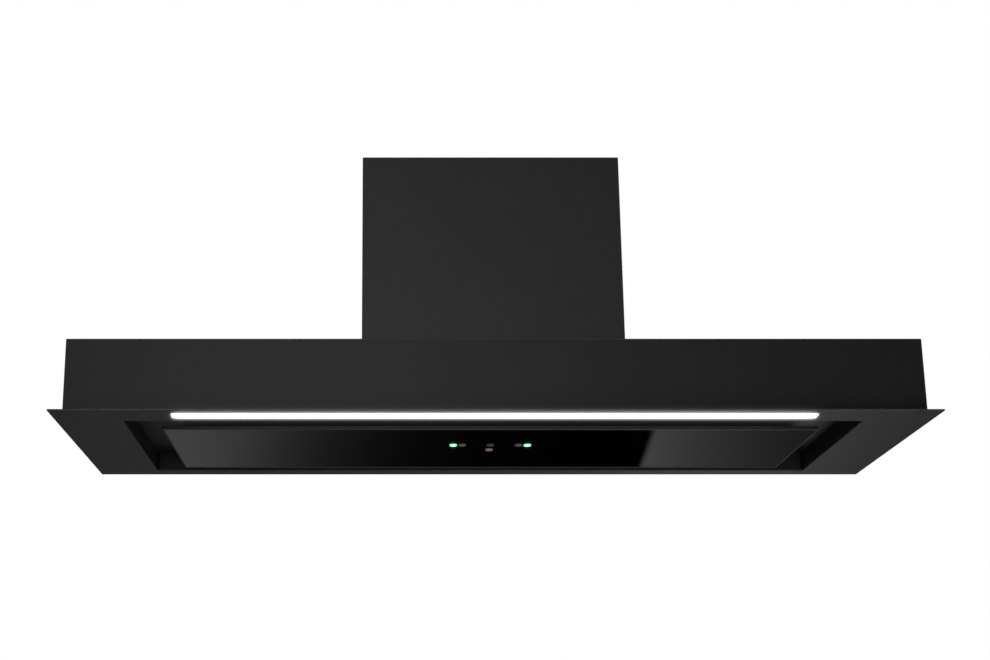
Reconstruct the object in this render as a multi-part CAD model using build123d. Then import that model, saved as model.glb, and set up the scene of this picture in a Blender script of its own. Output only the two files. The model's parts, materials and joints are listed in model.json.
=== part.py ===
from build123d import *
from build123d.topology import SkipClean
import os
from math import cos, radians, sin

# Built-in range hood, in millimetres. The origin is the centre of the flange's lower face,
# +X to the right, +Y to the back and +Z up. The glass panel and the light bar face down.

# Flange plate, and the folded box that stands on it
FLANGE_W = 900.0
FLANGE_D = 300.0
PLATE_T = 1.5
MARGIN = 12.5
BODY_W = FLANGE_W - 2 * MARGIN
BODY_D = FLANGE_D - 2 * MARGIN
BODY_TOP = 79.5
SHEET = 1.0
BEND = 1.2
SIDE_RETURN = 28.0
SIDE_RETURN_END = 18.0
SIDE_SCREW_R = 2.25
SIDE_SCREW_Y = 100.0
SIDE_SCREW_Z = 45.0
STUD_X = BODY_W / 2 - 17.0
STUD_Y = 90.0
STUD_R = 2.0
STUD_TOP = 11.0
STUD_NUT_H = 3.2

# Recess in the flange: its opening, the height of its folded walls and the slots at its corners
OPEN_W = 762.0
OPEN_FRONT = -106.5
OPEN_BACK = 128.5
RECESS = 23.0
CORNER_SLOT = 2.5

# Motor housing on top of the box
HOUSING_W = 270.0
HOUSING_TOP = BODY_TOP + 201.0
RETURN_W = 12.0
BLOWER_HOLE = (236.0, 232.0, 4.0)
FOOT_SCREW = (127.5, 85.0)
BACK_SCREW_X = 127.0
BACK_SCREW_Z = (100.0, 180.0, 260.0)

# Ceiling of the recess, with an upturned well for each filter
DECK_Z = RECESS
DECK_RIM = 12.0
WELL_X = (3.0, 317.5)
WELL_Y = (-82.0, 86.0)
WELL_RIM = 11.0

# Grease filters, with their mesh, pegs and sliding latches
FILTER_GAP = 2.0
FILTER_Z = DECK_Z + 0.4
FILTER_H = 9.0
RAIL_W = 11.0
FRAME_T = 1.0
FINGER_HOLE = (12.0, 6.0, 24.0)
MESH_COLS = 12
MESH_ROWS = 7
MESH_OPEN = 0.43
PEG_X = 90.0
PEG_W = 12.0
PEG_OUT = 4.5
PEG_Z = (FILTER_Z + 3.2, FILTER_Z + 6.2)
POCKET_W = 52.0
POCKET_D = 32.0
POCKET_T = 1.5
LATCH_W = 30.0
LATCH_D = 15.0
LATCH_START = 2.3
RIDGE = (9.0, 8.0, 11.5)
RIDGE_EDGE = 0.8
BOLT_W = 14.0
BOLT_OUT = 4.0
BOLT_Z = (FILTER_Z + 3.4, FILTER_Z + 6.4)
SPRING_T = 0.5
SPRING_STEP = 5.0
SLACK = 0.2

# Light bar in the front margin, with the clips that hold it down
LED_W = 655.5
LED_Y = -128.2
LED_SLOT_D = 14.5
LED_BODY_D = 15.8
LED_LIP_T = 2.0
LED_TOP = 13.0
LED_WALL = 1.2
CAP_T = 2.0
CHIPS = 38
CHIP_PITCH = 17.0
CHIP_W = 3.0
STRIP_W = 12.0
CLIP_X = 240.0
CLIP_W = 14.0
CLIP_FOOT = 4.5
CLIP_STUD_Y = -113.5
CLIP_STUD_R = 1.5
CLIP_STUD_TOP = 8.0
CLIP_NUT_H = 2.4
DRIVER_X = (340.0, 404.0)
DRIVER_Y = (-20.0, 40.0)
DRIVER_H = 20.0
DRIVER_EDGE = 2.0
DRIVER_FOOT = (10.0, 20.0, 2.0)

# Glass panel and the tray that carries it
GLASS_W = 691.0
GLASS_Y = (-70.5, 113.5)
GLASS_T = 4.0
ARRIS = 0.45
GLASS_CORNER = 1.0
TAPE_T = 0.8
TAPE_W = 12.0
TAPE_INSET = 4.0
TRAY_W = 656.0
TRAY_Y = (-40.0, 96.0)
TRAY_Z = GLASS_T + TAPE_T
TRAY_LIP = 12.0
TRAY_NOTCH = 7.0

# Panel hinges at the back, and catches at the front
PIVOT_Y = 103.5
PIVOT_Z = 10.0
PIN_R = 2.0
RUNNING = 0.05
BARREL_R = 3.5
EAR_R = 3.8
EAR_T = 2.0
HINGE_X = 290.0
LEAF_W = 22.0
LEAF_T = 1.5
LEAF_FOOT = (29.0, 7.0)
BRACKET_FOOT = 17.0
HINGE_SCREW = (8.0, 92.0)
CATCH_X = 325.0
CATCH_Y = -14.0
CATCH_Z = 12.3
CATCH_W = 11.0
CATCH_D = 14.0
CATCH_SINK = 4.0
STRIKER_D = 12.0
STRIKER_FOOT = (16.0, 6.0)

# Gesture sensor behind the glass: its centre, and each window's place from there
SENSOR_X = 4.0
SENSOR_Y = 1.0
WINDOW_W = 8.0
WINDOW_D = 11.5
DIM_WINDOWS = ((-30.9, 0.0), (0.0, 0.0), (0.0, 22.0), (30.9, 0.0))
LIT_WINDOWS = ((-40.7, 0.0), (40.7, 0.0))
COVER_TOP = 14.0
COVER_WALL = 1.5
COVER_X = (SENSOR_X - 56.0, SENSOR_X + 56.0)
COVER_Y = (SENSOR_Y - 10.0, SENSOR_Y + 32.0)
CHIP_AT = (-2.0, 12.0, 6.0, 1.5)
PLUG_AT = (45.0, 11.0, 5.0, 4.4)
PLUG_HOLE = (3.0, 2.0)

# Duct spigot with its two flaps
DUCT_R = 75.0
DUCT_WALL = 1.5
DUCT_Y = 20.0
DUCT_H = 30.0
COLLAR_BASE = 178.0
COLLAR_CORNER = 12.0
COLLAR_T = 2.0
COLLAR_SCREW = 79.0
PIN_BOSS = 4.0
STOP_ANGLES = (50, 130, 230, 310)
STOP_OUT = 4.5
STOP_HALF = 4.0
STOP_T = 3.0
FLAP_R = 71.0
FLAP_T = 1.2
FLAP_Z = HOUSING_TOP + 5.5
FLAP_EDGE = 4.2
FLAP_BARREL_R = 3.4
PIN_END = 73.3
FRONT_KNUCKLES = ((-60.0, -40.0), (-9.7, 9.7), (40.0, 60.0))
REAR_KNUCKLES = ((-39.5, -10.0), (10.0, 39.5))

# Fan: a scroll round a double-inlet drum of forward-curved blades, its shaft along X
FAN_Y = -16.0
FAN_Z = 185.0
TONGUE = 115.0
SCROLL_R = (82.0, 111.0)
SCROLL_HALF = 60.0
SCROLL_WALL = 2.0
SCROLL_OUT = SCROLL_HALF + SCROLL_WALL
SCROLL_TOP = HOUSING_TOP - 3.0
OUTLET_Y = (-54.0, FAN_Y + SCROLL_R[1])
FLANGE_HALF = 88.0
FLANGE_T = 3.0
SPIRAL_STEPS = 8
TONGUE_RISE = 6.0
EAR_ANGLES = (150.0, 205.0, 245.0, 300.0)
EAR_OUT = 5.5
TOP_EAR_Z = 240.0
BOSS_T = 8.0
INLET_R = 63.0
LIP_R = 10.0
BLADES = 36
BLADE_T = 0.9
BLADE_TURN = 8.0
BLADE_BOW = 0.3
DRUM_R = 75.0
DRUM_IN = 62.0
DRUM_HALF = 50.8
DISC_T = 1.6
HUB_R = 12.0
HUB_HALF = 8.0
SHAFT_R = 4.0
SHAFT_NUT_R = 7.5
SHAFT_NUT_H = 5.0
MOTOR_R = 44.0
MOTOR_X = (12.0, 70.0)
MOTOR_SHOULDER = (4.0, 8.0)
MOTOR_NOSE_R = 30.0
MOTOR_SLOTS = 8
SLOT_W = 6.0
SLOT_R = (20.0, 33.0)
VENT_W = 8.0
VENT_R = (32.0, 37.0)
FOOT_R = 80.0
FOOT_ANGLES = (90, 210, 330)
BRACKET_BORE = 10.0
BRACKET_ARM = 11.0
BRACKET_EAR = 7.0
BUSH_R = 6.0
GUARD_T = 2.0
GUARD_RINGS = ((78.0, 73.0), (46.0, 43.0))
GUARD_MIDDLE = 14.0
GUARD_SPOKES = 8
SPOKE = (64.0, 2.4)
GUARD_EAR = 5.0

# Run capacitor, strapped to the housing's back panel
CAN_X = 105.0
CAN_R = 15.0
CAN_Z = (92.0, 152.0)
STRAP_T = 1.2
STRAP_Z = (112.0, 124.0)
STRAP_SCREW_X = 80.0
STRAP_FOOT = (72.0, 105.0)
CAN_EDGE = 2.0
TAB_R = 1.2
TAB_OUT = 6.0
TAB_X = 5.0
CAN_Y = HOUSING_W / 2 - SHEET - CAN_R - STRAP_T

# Control box on the box's top at the back left, with the gland of the mains cable
BOX_X = (-410.0, -290.0)
BOX_Y = (25.0, 115.0)
BOX_TOP = BODY_TOP + 25.0
BOX_WALL = 2.0
BOX_CORNER = 4.0
BOX_INSET = 5.5
BOX_BOSS_R = 4.0
BOX_BOSS_FLOOR = BODY_TOP + 8.0
BOX_FOOT = (30.0, 20.0)
POST_R = 3.0
POST_INSET = (22.0, 14.0)
LID_T = 2.5
BOARD_Z = BODY_TOP + 7.0
BOARD_T = 1.6
BOARD_INSET = (16.0, 9.0)
RELAYS_X = (-386.0, -370.0, -354.0)
RELAY = (12.0, (40.0, 58.0), 12.0)
TRANSFORMER = ((-340.0, -312.0), (74.0, 100.0), 13.0)
TERMINALS = ((-391.0, -384.0), (64.0, 100.0), 9.0)
CABLE_Y = 70.0
CABLE_Z = BODY_TOP + 12.0
CABLE_R = 4.2
GLAND_R = 8.0
GLAND_OUT = 18.0
GLAND_HEX = 7.0
GLAND_HEX_R = GLAND_R + 3.0
GLAND_DOME_R = GLAND_R + 0.6
GLAND_EDGE = 2.5
GLAND_IN = 8.0
LEAD_R = 3.2
LEAD_Y = 52.0
LEAD_HOLE = 6.0
GROMMET_LIP = 2.0
LEAD_OUT = (6.0, 8.0)

# Small screws
SCREW_R = 1.65
SCREW_HOLE = 1.7
HEAD_R = 3.3
HEAD_H = 1.9


def block(x, y, z):
    """A cuboid between the low and high value of each axis."""
    spans = (x, y, z)
    middle = [(low + high) / 2 for low, high in spans]
    return Pos(*middle) * Box(*[high - low for low, high in spans])


def rod(x, y, z, radius):
    """A round bar: two of x, y and z are its centre line, and the third is a (low, high) span."""
    if isinstance(x, tuple):
        return Pos(sum(x) / 2, y, z) * Rot(0, 90, 0) * Cylinder(radius, x[1] - x[0])
    if isinstance(y, tuple):
        return Pos(x, sum(y) / 2, z) * Rot(90, 0, 0) * Cylinder(radius, y[1] - y[0])
    return Pos(x, y, sum(z) / 2) * Cylinder(radius, z[1] - z[0])


def about(middle, half):
    """The span that reaches half either side of middle."""
    return (middle - half, middle + half)


def inside(span, gap):
    """The span drawn in by gap at both ends."""
    return (span[0] + gap, span[1] - gap)


def along_x(sketch, low, high):
    """Extrudes a sketch drawn as (Y, Z) from low to high along X."""
    return extrude(Plane.YZ.offset(low) * sketch, high - low)


def along_z(sketch, low, high):
    """Extrudes a sketch drawn as (X, Y) from low to high along Z."""
    return extrude(Plane.XY.offset(low) * sketch, high - low)


def on_shaft(part):
    """Moves a part made about the X axis to the fan's shaft."""
    return Pos(0, FAN_Y, FAN_Z) * part


def polygon(*points):
    """A flat face with straight sides."""
    return make_face(Polyline(*points, close=True))


def polar(radius, degrees):
    """A point at a radius and an angle."""
    return (radius * cos(radians(degrees)), radius * sin(radians(degrees)))


def screw(point, out, length):
    """A flat-topped screw whose head sits on point and faces out, with its shank the other way."""
    body = Pos(0, 0, HEAD_H / 2) * Cylinder(HEAD_R, HEAD_H)
    body += Pos(0, 0, -length / 2) * Cylinder(SCREW_R, length)
    return Plane(origin=point, z_dir=out) * body


def mirrored(part):
    """The part and its mirror image on the other side of the middle."""
    return [part, mirror(part, Plane.YZ)]


def stud_places():
    """The studs that the box's side returns drop over."""
    return [(x, y) for x in (-STUD_X, STUD_X) for y in (-STUD_Y, 0, STUD_Y)]


def clip_places():
    """The studs of the light bar's clips."""
    return [(x, CLIP_STUD_Y) for x in (-CLIP_X, 0, CLIP_X)]


def bottom_frame():
    """Flange plate with the recess walls folded up round its opening, and weld studs on top."""
    open_y, open_d = (OPEN_FRONT + OPEN_BACK) / 2, OPEN_BACK - OPEN_FRONT
    hole = Pos(0, open_y) * Rectangle(OPEN_W, open_d)
    ring = Pos(0, open_y) * Rectangle(OPEN_W + 2 * PLATE_T, open_d + 2 * PLATE_T) - hole
    plate = Rectangle(FLANGE_W, FLANGE_D) - hole
    plate -= Pos(0, LED_Y) * Rectangle(LED_W, LED_SLOT_D)
    part = along_z(plate, 0, PLATE_T) + along_z(ring, 0, RECESS)

    def on_rim(edge):
        place = edge.center()
        return abs(place.X) < OPEN_W / 2 + 0.1 and abs(place.Y - open_y) < open_d / 2 + 0.1

    part = fillet(part.edges().group_by(Axis.Z)[0].filter_by(on_rim), BEND)
    for x in ((-OPEN_W / 2, CORNER_SLOT - OPEN_W / 2), (OPEN_W / 2 - CORNER_SLOT, OPEN_W / 2)):
        for y in ((OPEN_FRONT - PLATE_T, OPEN_FRONT), (OPEN_BACK, OPEN_BACK + PLATE_T)):
            part -= block(x, y, (PLATE_T, RECESS))
    for x, y in stud_places():
        part += rod(x, y, (PLATE_T, STUD_TOP), STUD_R)
    for x, y in clip_places():
        part += rod(x, y, (PLATE_T, CLIP_STUD_TOP), CLIP_STUD_R)

    # The rim outside the box keeps a face of its own: it is the seat under the cabinet
    under_box = block(about(0, BODY_W / 2), about(0, BODY_D / 2), (-PLATE_T, 2 * RECESS))
    with SkipClean():
        return (part - under_box) + (part & under_box)


def nut(place, radius, bore, height):
    """A hexagon nut round a vertical stud, on a sheet that lies on the flange."""
    low = PLATE_T + SHEET
    return along_z(Pos(*place) * (RegularPolygon(radius, 6) - Circle(bore)), low, low + height)


def frame_nuts():
    """Nuts on the flange's studs, over the returns and the clips."""
    nuts = [nut(place, 2 * STUD_R, STUD_R + RUNNING, STUD_NUT_H) for place in stud_places()]
    small = (2 * CLIP_STUD_R, CLIP_STUD_R + RUNNING, CLIP_NUT_H)
    return nuts + [nut(place, *small) for place in clip_places()]


def body_shell():
    """Folded box: four walls and a top with the blower's opening, and returns along both ends."""
    part = block(about(0, BODY_W / 2), about(0, BODY_D / 2), (PLATE_T, BODY_TOP))
    part = fillet(part.edges().filter_by(Axis.Z) + part.edges().group_by(Axis.Z)[-1], BEND)
    in_x, in_y = BODY_W / 2 - SHEET, BODY_D / 2 - SHEET
    part -= block(about(0, in_x), about(0, in_y), (0, BODY_TOP - SHEET))
    part -= along_z(RectangleRounded(*BLOWER_HOLE), BODY_TOP - 2 * SHEET, BODY_TOP + SHEET)
    for x in ((-in_x, SIDE_RETURN - in_x), (in_x - SIDE_RETURN, in_x)):
        part += block(x, about(0, in_y - SIDE_RETURN_END), (PLATE_T, PLATE_T + SHEET))
    for y in (-SIDE_SCREW_Y, SIDE_SCREW_Y):
        part -= rod((-BODY_W, BODY_W), y, SIDE_SCREW_Z, SIDE_SCREW_R)
    for x, y in stud_places():
        part -= rod(x, y, (0, 2 * PLATE_T), STUD_R + 0.1)
    for x, y in housing_feet() + box_feet():
        part -= rod(x, y, (BODY_TOP - 2 * SHEET, BODY_TOP + SHEET), SCREW_HOLE)
    return part


def housing_feet():
    """Screws through the housing's bottom returns into the box."""
    return [(x, y) for x in (-FOOT_SCREW[0], FOOT_SCREW[0]) for y in (-FOOT_SCREW[1], FOOT_SCREW[1])]


def box_feet():
    """Screws through the control box's floor into the box below."""
    return [(x, y) for x in inside(BOX_X, BOX_FOOT[0]) for y in inside(BOX_Y, BOX_FOOT[1])]


def filter_deck():
    """Ceiling of the recess, spot-welded in the box by its rim, with a well and slots for each filter."""
    span_x, span_y = about(0, BODY_W / 2 - SHEET), about(0, BODY_D / 2 - SHEET)
    part = block(span_x, span_y, (DECK_Z, DECK_Z + DECK_RIM))
    part -= block(inside(span_x, SHEET), inside(span_y, SHEET), (DECK_Z + SHEET, DECK_Z + 2 * DECK_RIM))
    outer = block(inside(WELL_X, -SHEET), inside(WELL_Y, -SHEET), (DECK_Z, DECK_Z + WELL_RIM))
    inner = block(WELL_X, WELL_Y, (0, 2 * DECK_Z))
    middle = sum(WELL_X) / 2
    for y in (WELL_Y[0] - SHEET / 2, WELL_Y[1] + SHEET / 2):
        for x in (middle - PEG_X, middle, middle + PEG_X):
            if (x == middle) == (y < 0):
                low, wide = (BOLT_Z[0], BOLT_W) if y < 0 else (PEG_Z[0], PEG_W)
                inner += block(about(x, wide / 2 + SHEET), about(y, SHEET), (low, low + 4 * SHEET))
    for rim, hole in zip(mirrored(outer), mirrored(inner)):
        part = part + rim - hole
    for x, y, _ in deck_screw_places():
        part -= rod(x, y, (DECK_Z - SHEET, DECK_Z + 2 * SHEET), SCREW_HOLE)
    return part


def deck_screw_places():
    """Screws up into the deck: two in each hinge bracket's foot and one in each catch."""
    feet = [(side * HINGE_X + x, HINGE_SCREW[1], DECK_Z - PLATE_T)
            for side in (-1, 1) for x in (-HINGE_SCREW[0], HINGE_SCREW[0])]
    return feet + [(side * CATCH_X, CATCH_Y, CATCH_Z + CATCH_SINK) for side in (-1, 1)]


def deck_screws():
    """The screws that hold the hinge brackets and the catches under the deck."""
    return [screw((x, y, z), (0, 0, -1), DECK_Z + 5 - z) for x, y, z in deck_screw_places()]


def housing_wrap():
    """Front and sides of the motor housing in one folded sheet, with returns all round."""
    half, inner, window = HOUSING_W / 2, HOUSING_W / 2 - SHEET, HOUSING_W / 2 - SHEET - RETURN_W
    part = block(about(0, half), about(0, half), (BODY_TOP, HOUSING_TOP))
    part = fillet(part.edges().filter_by(Axis.Z).group_by(Axis.Y)[0], BEND)
    part -= block(about(0, inner), (-inner, 2 * half), inside((BODY_TOP, HOUSING_TOP), SHEET))
    part -= block(about(0, window), (-window, 2 * half), inside((BODY_TOP, HOUSING_TOP), -SHEET))
    for x in ((-inner, -window), (window, inner)):
        part += block(x, (inner - SHEET, inner), (BODY_TOP, HOUSING_TOP))
    for x, y in housing_feet():
        part -= rod(x, y, (BODY_TOP - SHEET, BODY_TOP + 2 * SHEET), SCREW_HOLE)
    for x, z in back_screw_places():
        part -= rod(x, (inner - 2 * SHEET, half), z, SCREW_HOLE)
    return part - rod((-half - SHEET, SHEET - inner), LEAD_Y, CABLE_Z, LEAD_HOLE)


def back_screw_places():
    """Screws round the edge of the housing's back panel, as (X, Z)."""
    return [(x, z) for x in (-BACK_SCREW_X, BACK_SCREW_X) for z in BACK_SCREW_Z]


def housing_back():
    """Flat back panel with a return at its top and its foot."""
    half, inner, window = HOUSING_W / 2, HOUSING_W / 2 - SHEET, HOUSING_W / 2 - SHEET - RETURN_W
    part = block(about(0, inner), (inner, half), inside((BODY_TOP, HOUSING_TOP), SHEET))
    for low in (BODY_TOP, HOUSING_TOP - SHEET):
        part += block(about(0, window), (window, half), (low, low + SHEET))
    for x, z in back_screw_places() + [(STRAP_SCREW_X, sum(STRAP_Z) / 2)]:
        part -= rod(x, (inner - SHEET, half + SHEET), z, SCREW_HOLE)
    return part


def housing_top():
    """Top plate under the returns, with the round outlet."""
    inner, high = HOUSING_W / 2 - SHEET, HOUSING_TOP - SHEET
    part = block(about(0, inner), (-inner, inner - SHEET), (high - SHEET, high))
    part -= rod(0, DUCT_Y, (high - 2 * SHEET, high + SHEET), DUCT_R - DUCT_WALL)
    for x, y in collar_screw_places():
        part -= rod(x, y, (high - 2 * SHEET, high + SHEET), SCREW_HOLE)
    return part


def collar_screw_places():
    """Screws through the spigot's base, the top plate and the gasket into the scroll's flange."""
    return [(x, DUCT_Y + y) for x in about(0, COLLAR_SCREW) for y in about(0, COLLAR_SCREW)]


def outlet_collar():
    """Spigot for a 150 mm duct: a tube on a square base, with bosses for the pin and stops for the flaps."""
    low, bore = HOUSING_TOP - SHEET, DUCT_R - DUCT_WALL
    square = RectangleRounded(COLLAR_BASE, COLLAR_BASE, COLLAR_CORNER)
    tube = rod(0, DUCT_Y, (low, HOUSING_TOP + DUCT_H), DUCT_R)
    part = along_z(Pos(0, DUCT_Y) * square, low, low + COLLAR_T)
    part += fillet(tube.edges().group_by(Axis.Z)[-1], DUCT_WALL / 2)
    part -= rod(0, DUCT_Y, (low - SHEET, HOUSING_TOP + 2 * DUCT_H), bore)
    for x in ((-bore - SLACK, PIN_BOSS - bore), (bore - PIN_BOSS, bore + SLACK)):
        part += rod(x, DUCT_Y, FLAP_Z, FLAP_BARREL_R + SLACK)
        part -= rod(x, DUCT_Y, FLAP_Z, PIN_R)
    rest = FLAP_Z - FLAP_T / 2
    for angle in STOP_ANGLES:
        stop = block((bore - STOP_OUT, bore + DUCT_WALL / 3), about(0, STOP_HALF), (rest - STOP_T, rest))
        part += Pos(0, DUCT_Y, 0) * Rot(0, 0, angle) * stop
    for x, y in collar_screw_places():
        part -= rod(x, y, (low - SHEET, low + 2 * COLLAR_T), SCREW_HOLE)
    return part


def flap_pin():
    """The pin that both flaps turn on."""
    return rod((-PIN_END, PIN_END), DUCT_Y, FLAP_Z, PIN_R)


def flap(side, knuckles):
    """Half-disc flap in front of the pin (side -1) or behind it (side 1), with its own knuckles."""
    thick = about(FLAP_Z, FLAP_T / 2)
    disc = Circle(FLAP_R) & Pos(0, side * (FLAP_EDGE + FLAP_R)) * Rectangle(2 * FLAP_R, 2 * FLAP_R)
    part = along_z(Pos(0, DUCT_Y) * disc, *thick)
    for span in knuckles:
        part += block(span, sorted((DUCT_Y, DUCT_Y + side * (FLAP_EDGE + 1))), thick)
        part += rod(span, DUCT_Y, FLAP_Z, FLAP_BARREL_R)
    return part - rod((-DUCT_R, DUCT_R), DUCT_Y, FLAP_Z, PIN_R + RUNNING)


def outlet_gasket():
    """Soft gasket between the scroll's flange and the top plate."""
    mouth = block(about(0, SCROLL_HALF), OUTLET_Y, about(SCROLL_TOP, FLANGE_T))
    part = block(about(0, FLANGE_HALF), about(DUCT_Y, FLANGE_HALF), (SCROLL_TOP, SCROLL_TOP + SHEET)) - mouth
    for x, y in collar_screw_places():
        part -= rod(x, y, about(SCROLL_TOP, FLANGE_T), SCREW_HOLE)
    return part


def fan_point(radius, degrees):
    """A point round the fan's shaft, as (Y, Z)."""
    y, z = polar(radius, degrees)
    return (FAN_Y + y, FAN_Z + z)


def spiral_radius(degrees):
    """The scroll's radius, growing steadily from the tongue to the outlet."""
    return SCROLL_R[0] + (SCROLL_R[1] - SCROLL_R[0]) * (degrees - TONGUE) / (360 - TONGUE)


def scroll_outline(wall):
    """The scroll and its outlet as one face, grown outwards by wall."""
    angles = [TONGUE + (360 - TONGUE) * i / SPIRAL_STEPS for i in range(SPIRAL_STEPS + 1)]
    points = [fan_point(spiral_radius(a) + wall, a) for a in angles]
    front = OUTLET_Y[0] - wall
    neck = Polyline(points[-1], (points[-1][0], SCROLL_TOP), (front, SCROLL_TOP),
                    (front, points[0][1] + TONGUE_RISE), points[0])
    return make_face(Spline(*points) + neck)


def ear_places():
    """Bosses round the scroll where its halves are screwed together, as (Y, Z)."""
    round_scroll = [fan_point(spiral_radius(a) + EAR_OUT, a) for a in EAR_ANGLES]
    return round_scroll + [(OUTLET_Y[1] + EAR_OUT, TOP_EAR_Z)]


def fan_scroll():
    """Right half of the scroll, from the middle to the inlet wall with its bell mouth."""
    part = along_x(scroll_outline(SCROLL_WALL), 0, SCROLL_OUT)
    part += block((0, FLANGE_HALF), about(DUCT_Y, FLANGE_HALF), (SCROLL_TOP - FLANGE_T, SCROLL_TOP))
    for y, z in ear_places():
        part += rod((0, BOSS_T), y, z, EAR_OUT)
    part -= along_x(scroll_outline(0), -1, SCROLL_HALF)
    part -= rod((0, 2 * SCROLL_OUT), FAN_Y, FAN_Z, INLET_R + LIP_R)
    part += on_shaft(bell_mouth())
    for y, z in ear_places():
        part -= rod((-1, BOSS_T + 1), y, z, SCREW_HOLE)
    for angle in FOOT_ANGLES:
        part -= rod((SCROLL_HALF - 1, SCROLL_OUT + 1), *fan_point(FOOT_R, angle), SCREW_HOLE)
    for x, y in collar_screw_places():
        part -= rod(x, y, (SCROLL_TOP - 2 * FLANGE_T, SCROLL_TOP + FLANGE_T), SCREW_HOLE)
    return part


def bell_mouth():
    """Quarter-round lip that leads the air into the drum, turned about the shaft."""
    low = SCROLL_OUT - LIP_R
    ring = Pos(low, INLET_R + LIP_R) * (Circle(LIP_R) - Circle(LIP_R - SCROLL_WALL))
    corner = Pos(low + LIP_R / 2, INLET_R + LIP_R / 2) * Rectangle(LIP_R, LIP_R)
    return revolve(ring & corner, Axis.X)


def scroll_screws():
    """Screws along X through the scroll's bosses, the guard's ears and the motor bracket's feet."""
    bracket = MOTOR_X[1] + GUARD_T
    screws = [screw((BOSS_T, y, z), (1, 0, 0), 2 * BOSS_T) for y, z in ear_places()]
    for angle in FOOT_ANGLES:
        y, z = fan_point(FOOT_R, angle)
        screws.append(screw((bracket, y, z), (1, 0, 0), bracket - SCROLL_HALF + 2))
        screws.append(screw((-SCROLL_OUT - GUARD_T, y, z), (-1, 0, 0), GUARD_T + SCROLL_WALL + 2))
    return screws


def inlet_guard():
    """Finger guard over the left inlet: rings joined by spokes, with an ear for each screw."""
    (rim, rim_in), (ring, ring_in) = GUARD_RINGS
    guard = Circle(rim) - Circle(rim_in) + Circle(ring) - Circle(ring_in) + Circle(GUARD_MIDDLE)
    step = 360 / GUARD_SPOKES
    for i in range(GUARD_SPOKES):
        spoke = Pos((GUARD_MIDDLE + rim_in) / 2, 0) * Rectangle(*SPOKE)
        guard += Rot(0, 0, step * (i + 0.5)) * spoke
    for angle in FOOT_ANGLES:
        guard += Pos(*polar(FOOT_R, angle)) * Circle(GUARD_EAR)
        guard -= Pos(*polar(FOOT_R, angle)) * Circle(SCREW_HOLE)
    return on_shaft(along_x(guard, -SCROLL_OUT - GUARD_T, -SCROLL_OUT))


def blade_section():
    """One forward-curved blade across the drum's rim: two arcs a blade's thickness apart."""
    middle, bow = (DRUM_R + DRUM_IN) / 2, BLADE_BOW * BLADE_TURN
    inner = ThreePointArc(polar(DRUM_IN, 0), polar(middle, bow), polar(DRUM_R, BLADE_TURN))
    outer = ThreePointArc(polar(DRUM_R, BLADE_TURN + BLADE_T), polar(middle, bow + BLADE_T),
                          polar(DRUM_IN, BLADE_T))
    return make_face(inner + outer + Line(inner @ 1, outer @ 0) + Line(outer @ 1, inner @ 0))


def impeller():
    """Double-inlet drum: forward-curved blades either side of a middle disc, between two end rings."""
    bar = along_x(blade_section(), -DRUM_HALF, DRUM_HALF)
    blades = [Rot(360 / BLADES * i, 0, 0) * bar for i in range(BLADES)]
    ring = Circle(DRUM_R) - Circle(DRUM_IN)
    rings = [along_x(ring, x, x + DISC_T) for x in (-DRUM_HALF, DRUM_HALF - DISC_T)]
    wheel = along_x(Circle(DRUM_R), *about(0, DISC_T / 2)) + along_x(Circle(HUB_R), *about(0, HUB_HALF))
    return on_shaft(wheel + rings + blades - along_x(Circle(SHAFT_R), *about(0, 2 * HUB_HALF)))


def impeller_nut():
    """The nut that clamps the drum on its shaft."""
    hexagon = RegularPolygon(SHAFT_NUT_R, 6) - Circle(SHAFT_R)
    return on_shaft(along_x(hexagon, -HUB_HALF - SHAFT_NUT_H, -HUB_HALF))


def motor_shaft():
    """The shaft from the drum's nut to the far end of the motor."""
    end = HUB_HALF + SHAFT_NUT_H + 1
    return rod((-end, MOTOR_X[1] - SHAFT_R), FAN_Y, FAN_Z, SHAFT_R)


def fan_motor():
    """Motor inside the drum's right half: a turned can with cooling slots in both end bells."""
    front, back = MOTOR_X
    bore = SHAFT_R + RUNNING
    step, slope = MOTOR_SHOULDER
    shoulder = MOTOR_R - SHAFT_R
    profile = polygon((front, bore), (front, HUB_R), (front + step, HUB_R), (front + step, shoulder),
                      (front + slope, MOTOR_R), (back - slope, MOTOR_R), (back - step, shoulder),
                      (back - step, MOTOR_NOSE_R), (back, MOTOR_NOSE_R), (back, bore))
    part = revolve(profile, Axis.X)
    for i in range(MOTOR_SLOTS):
        slots = block(about(front + step, SLOT_W / 2), SLOT_R, about(0, SLOT_W / 2))
        slots += block(about(back - step, SLOT_W), VENT_R, about(0, VENT_W / 2))
        part -= Rot(360 / MOTOR_SLOTS * i, 0, 0) * slots
    return on_shaft(part)


def motor_bracket():
    """Three-armed spider that carries the motor on the right inlet wall."""
    spider = Circle(MOTOR_NOSE_R)
    for angle in FOOT_ANGLES:
        spider += Rot(0, 0, angle) * Pos(FOOT_R / 2, 0) * Rectangle(FOOT_R, BRACKET_ARM)
        spider += Pos(*polar(FOOT_R, angle)) * Circle(BRACKET_EAR)
        spider -= Pos(*polar(FOOT_R, angle)) * Circle(SCREW_HOLE)
    return on_shaft(along_x(spider - Circle(BRACKET_BORE), MOTOR_X[1], MOTOR_X[1] + GUARD_T))


def motor_bushes():
    """Rubber bushes between the bracket's feet and the inlet wall."""
    ring = Circle(BUSH_R) - Circle(SCREW_HOLE)
    return [on_shaft(along_x(Pos(*polar(FOOT_R, angle)) * ring, SCROLL_OUT, MOTOR_X[1]))
            for angle in FOOT_ANGLES]


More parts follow.
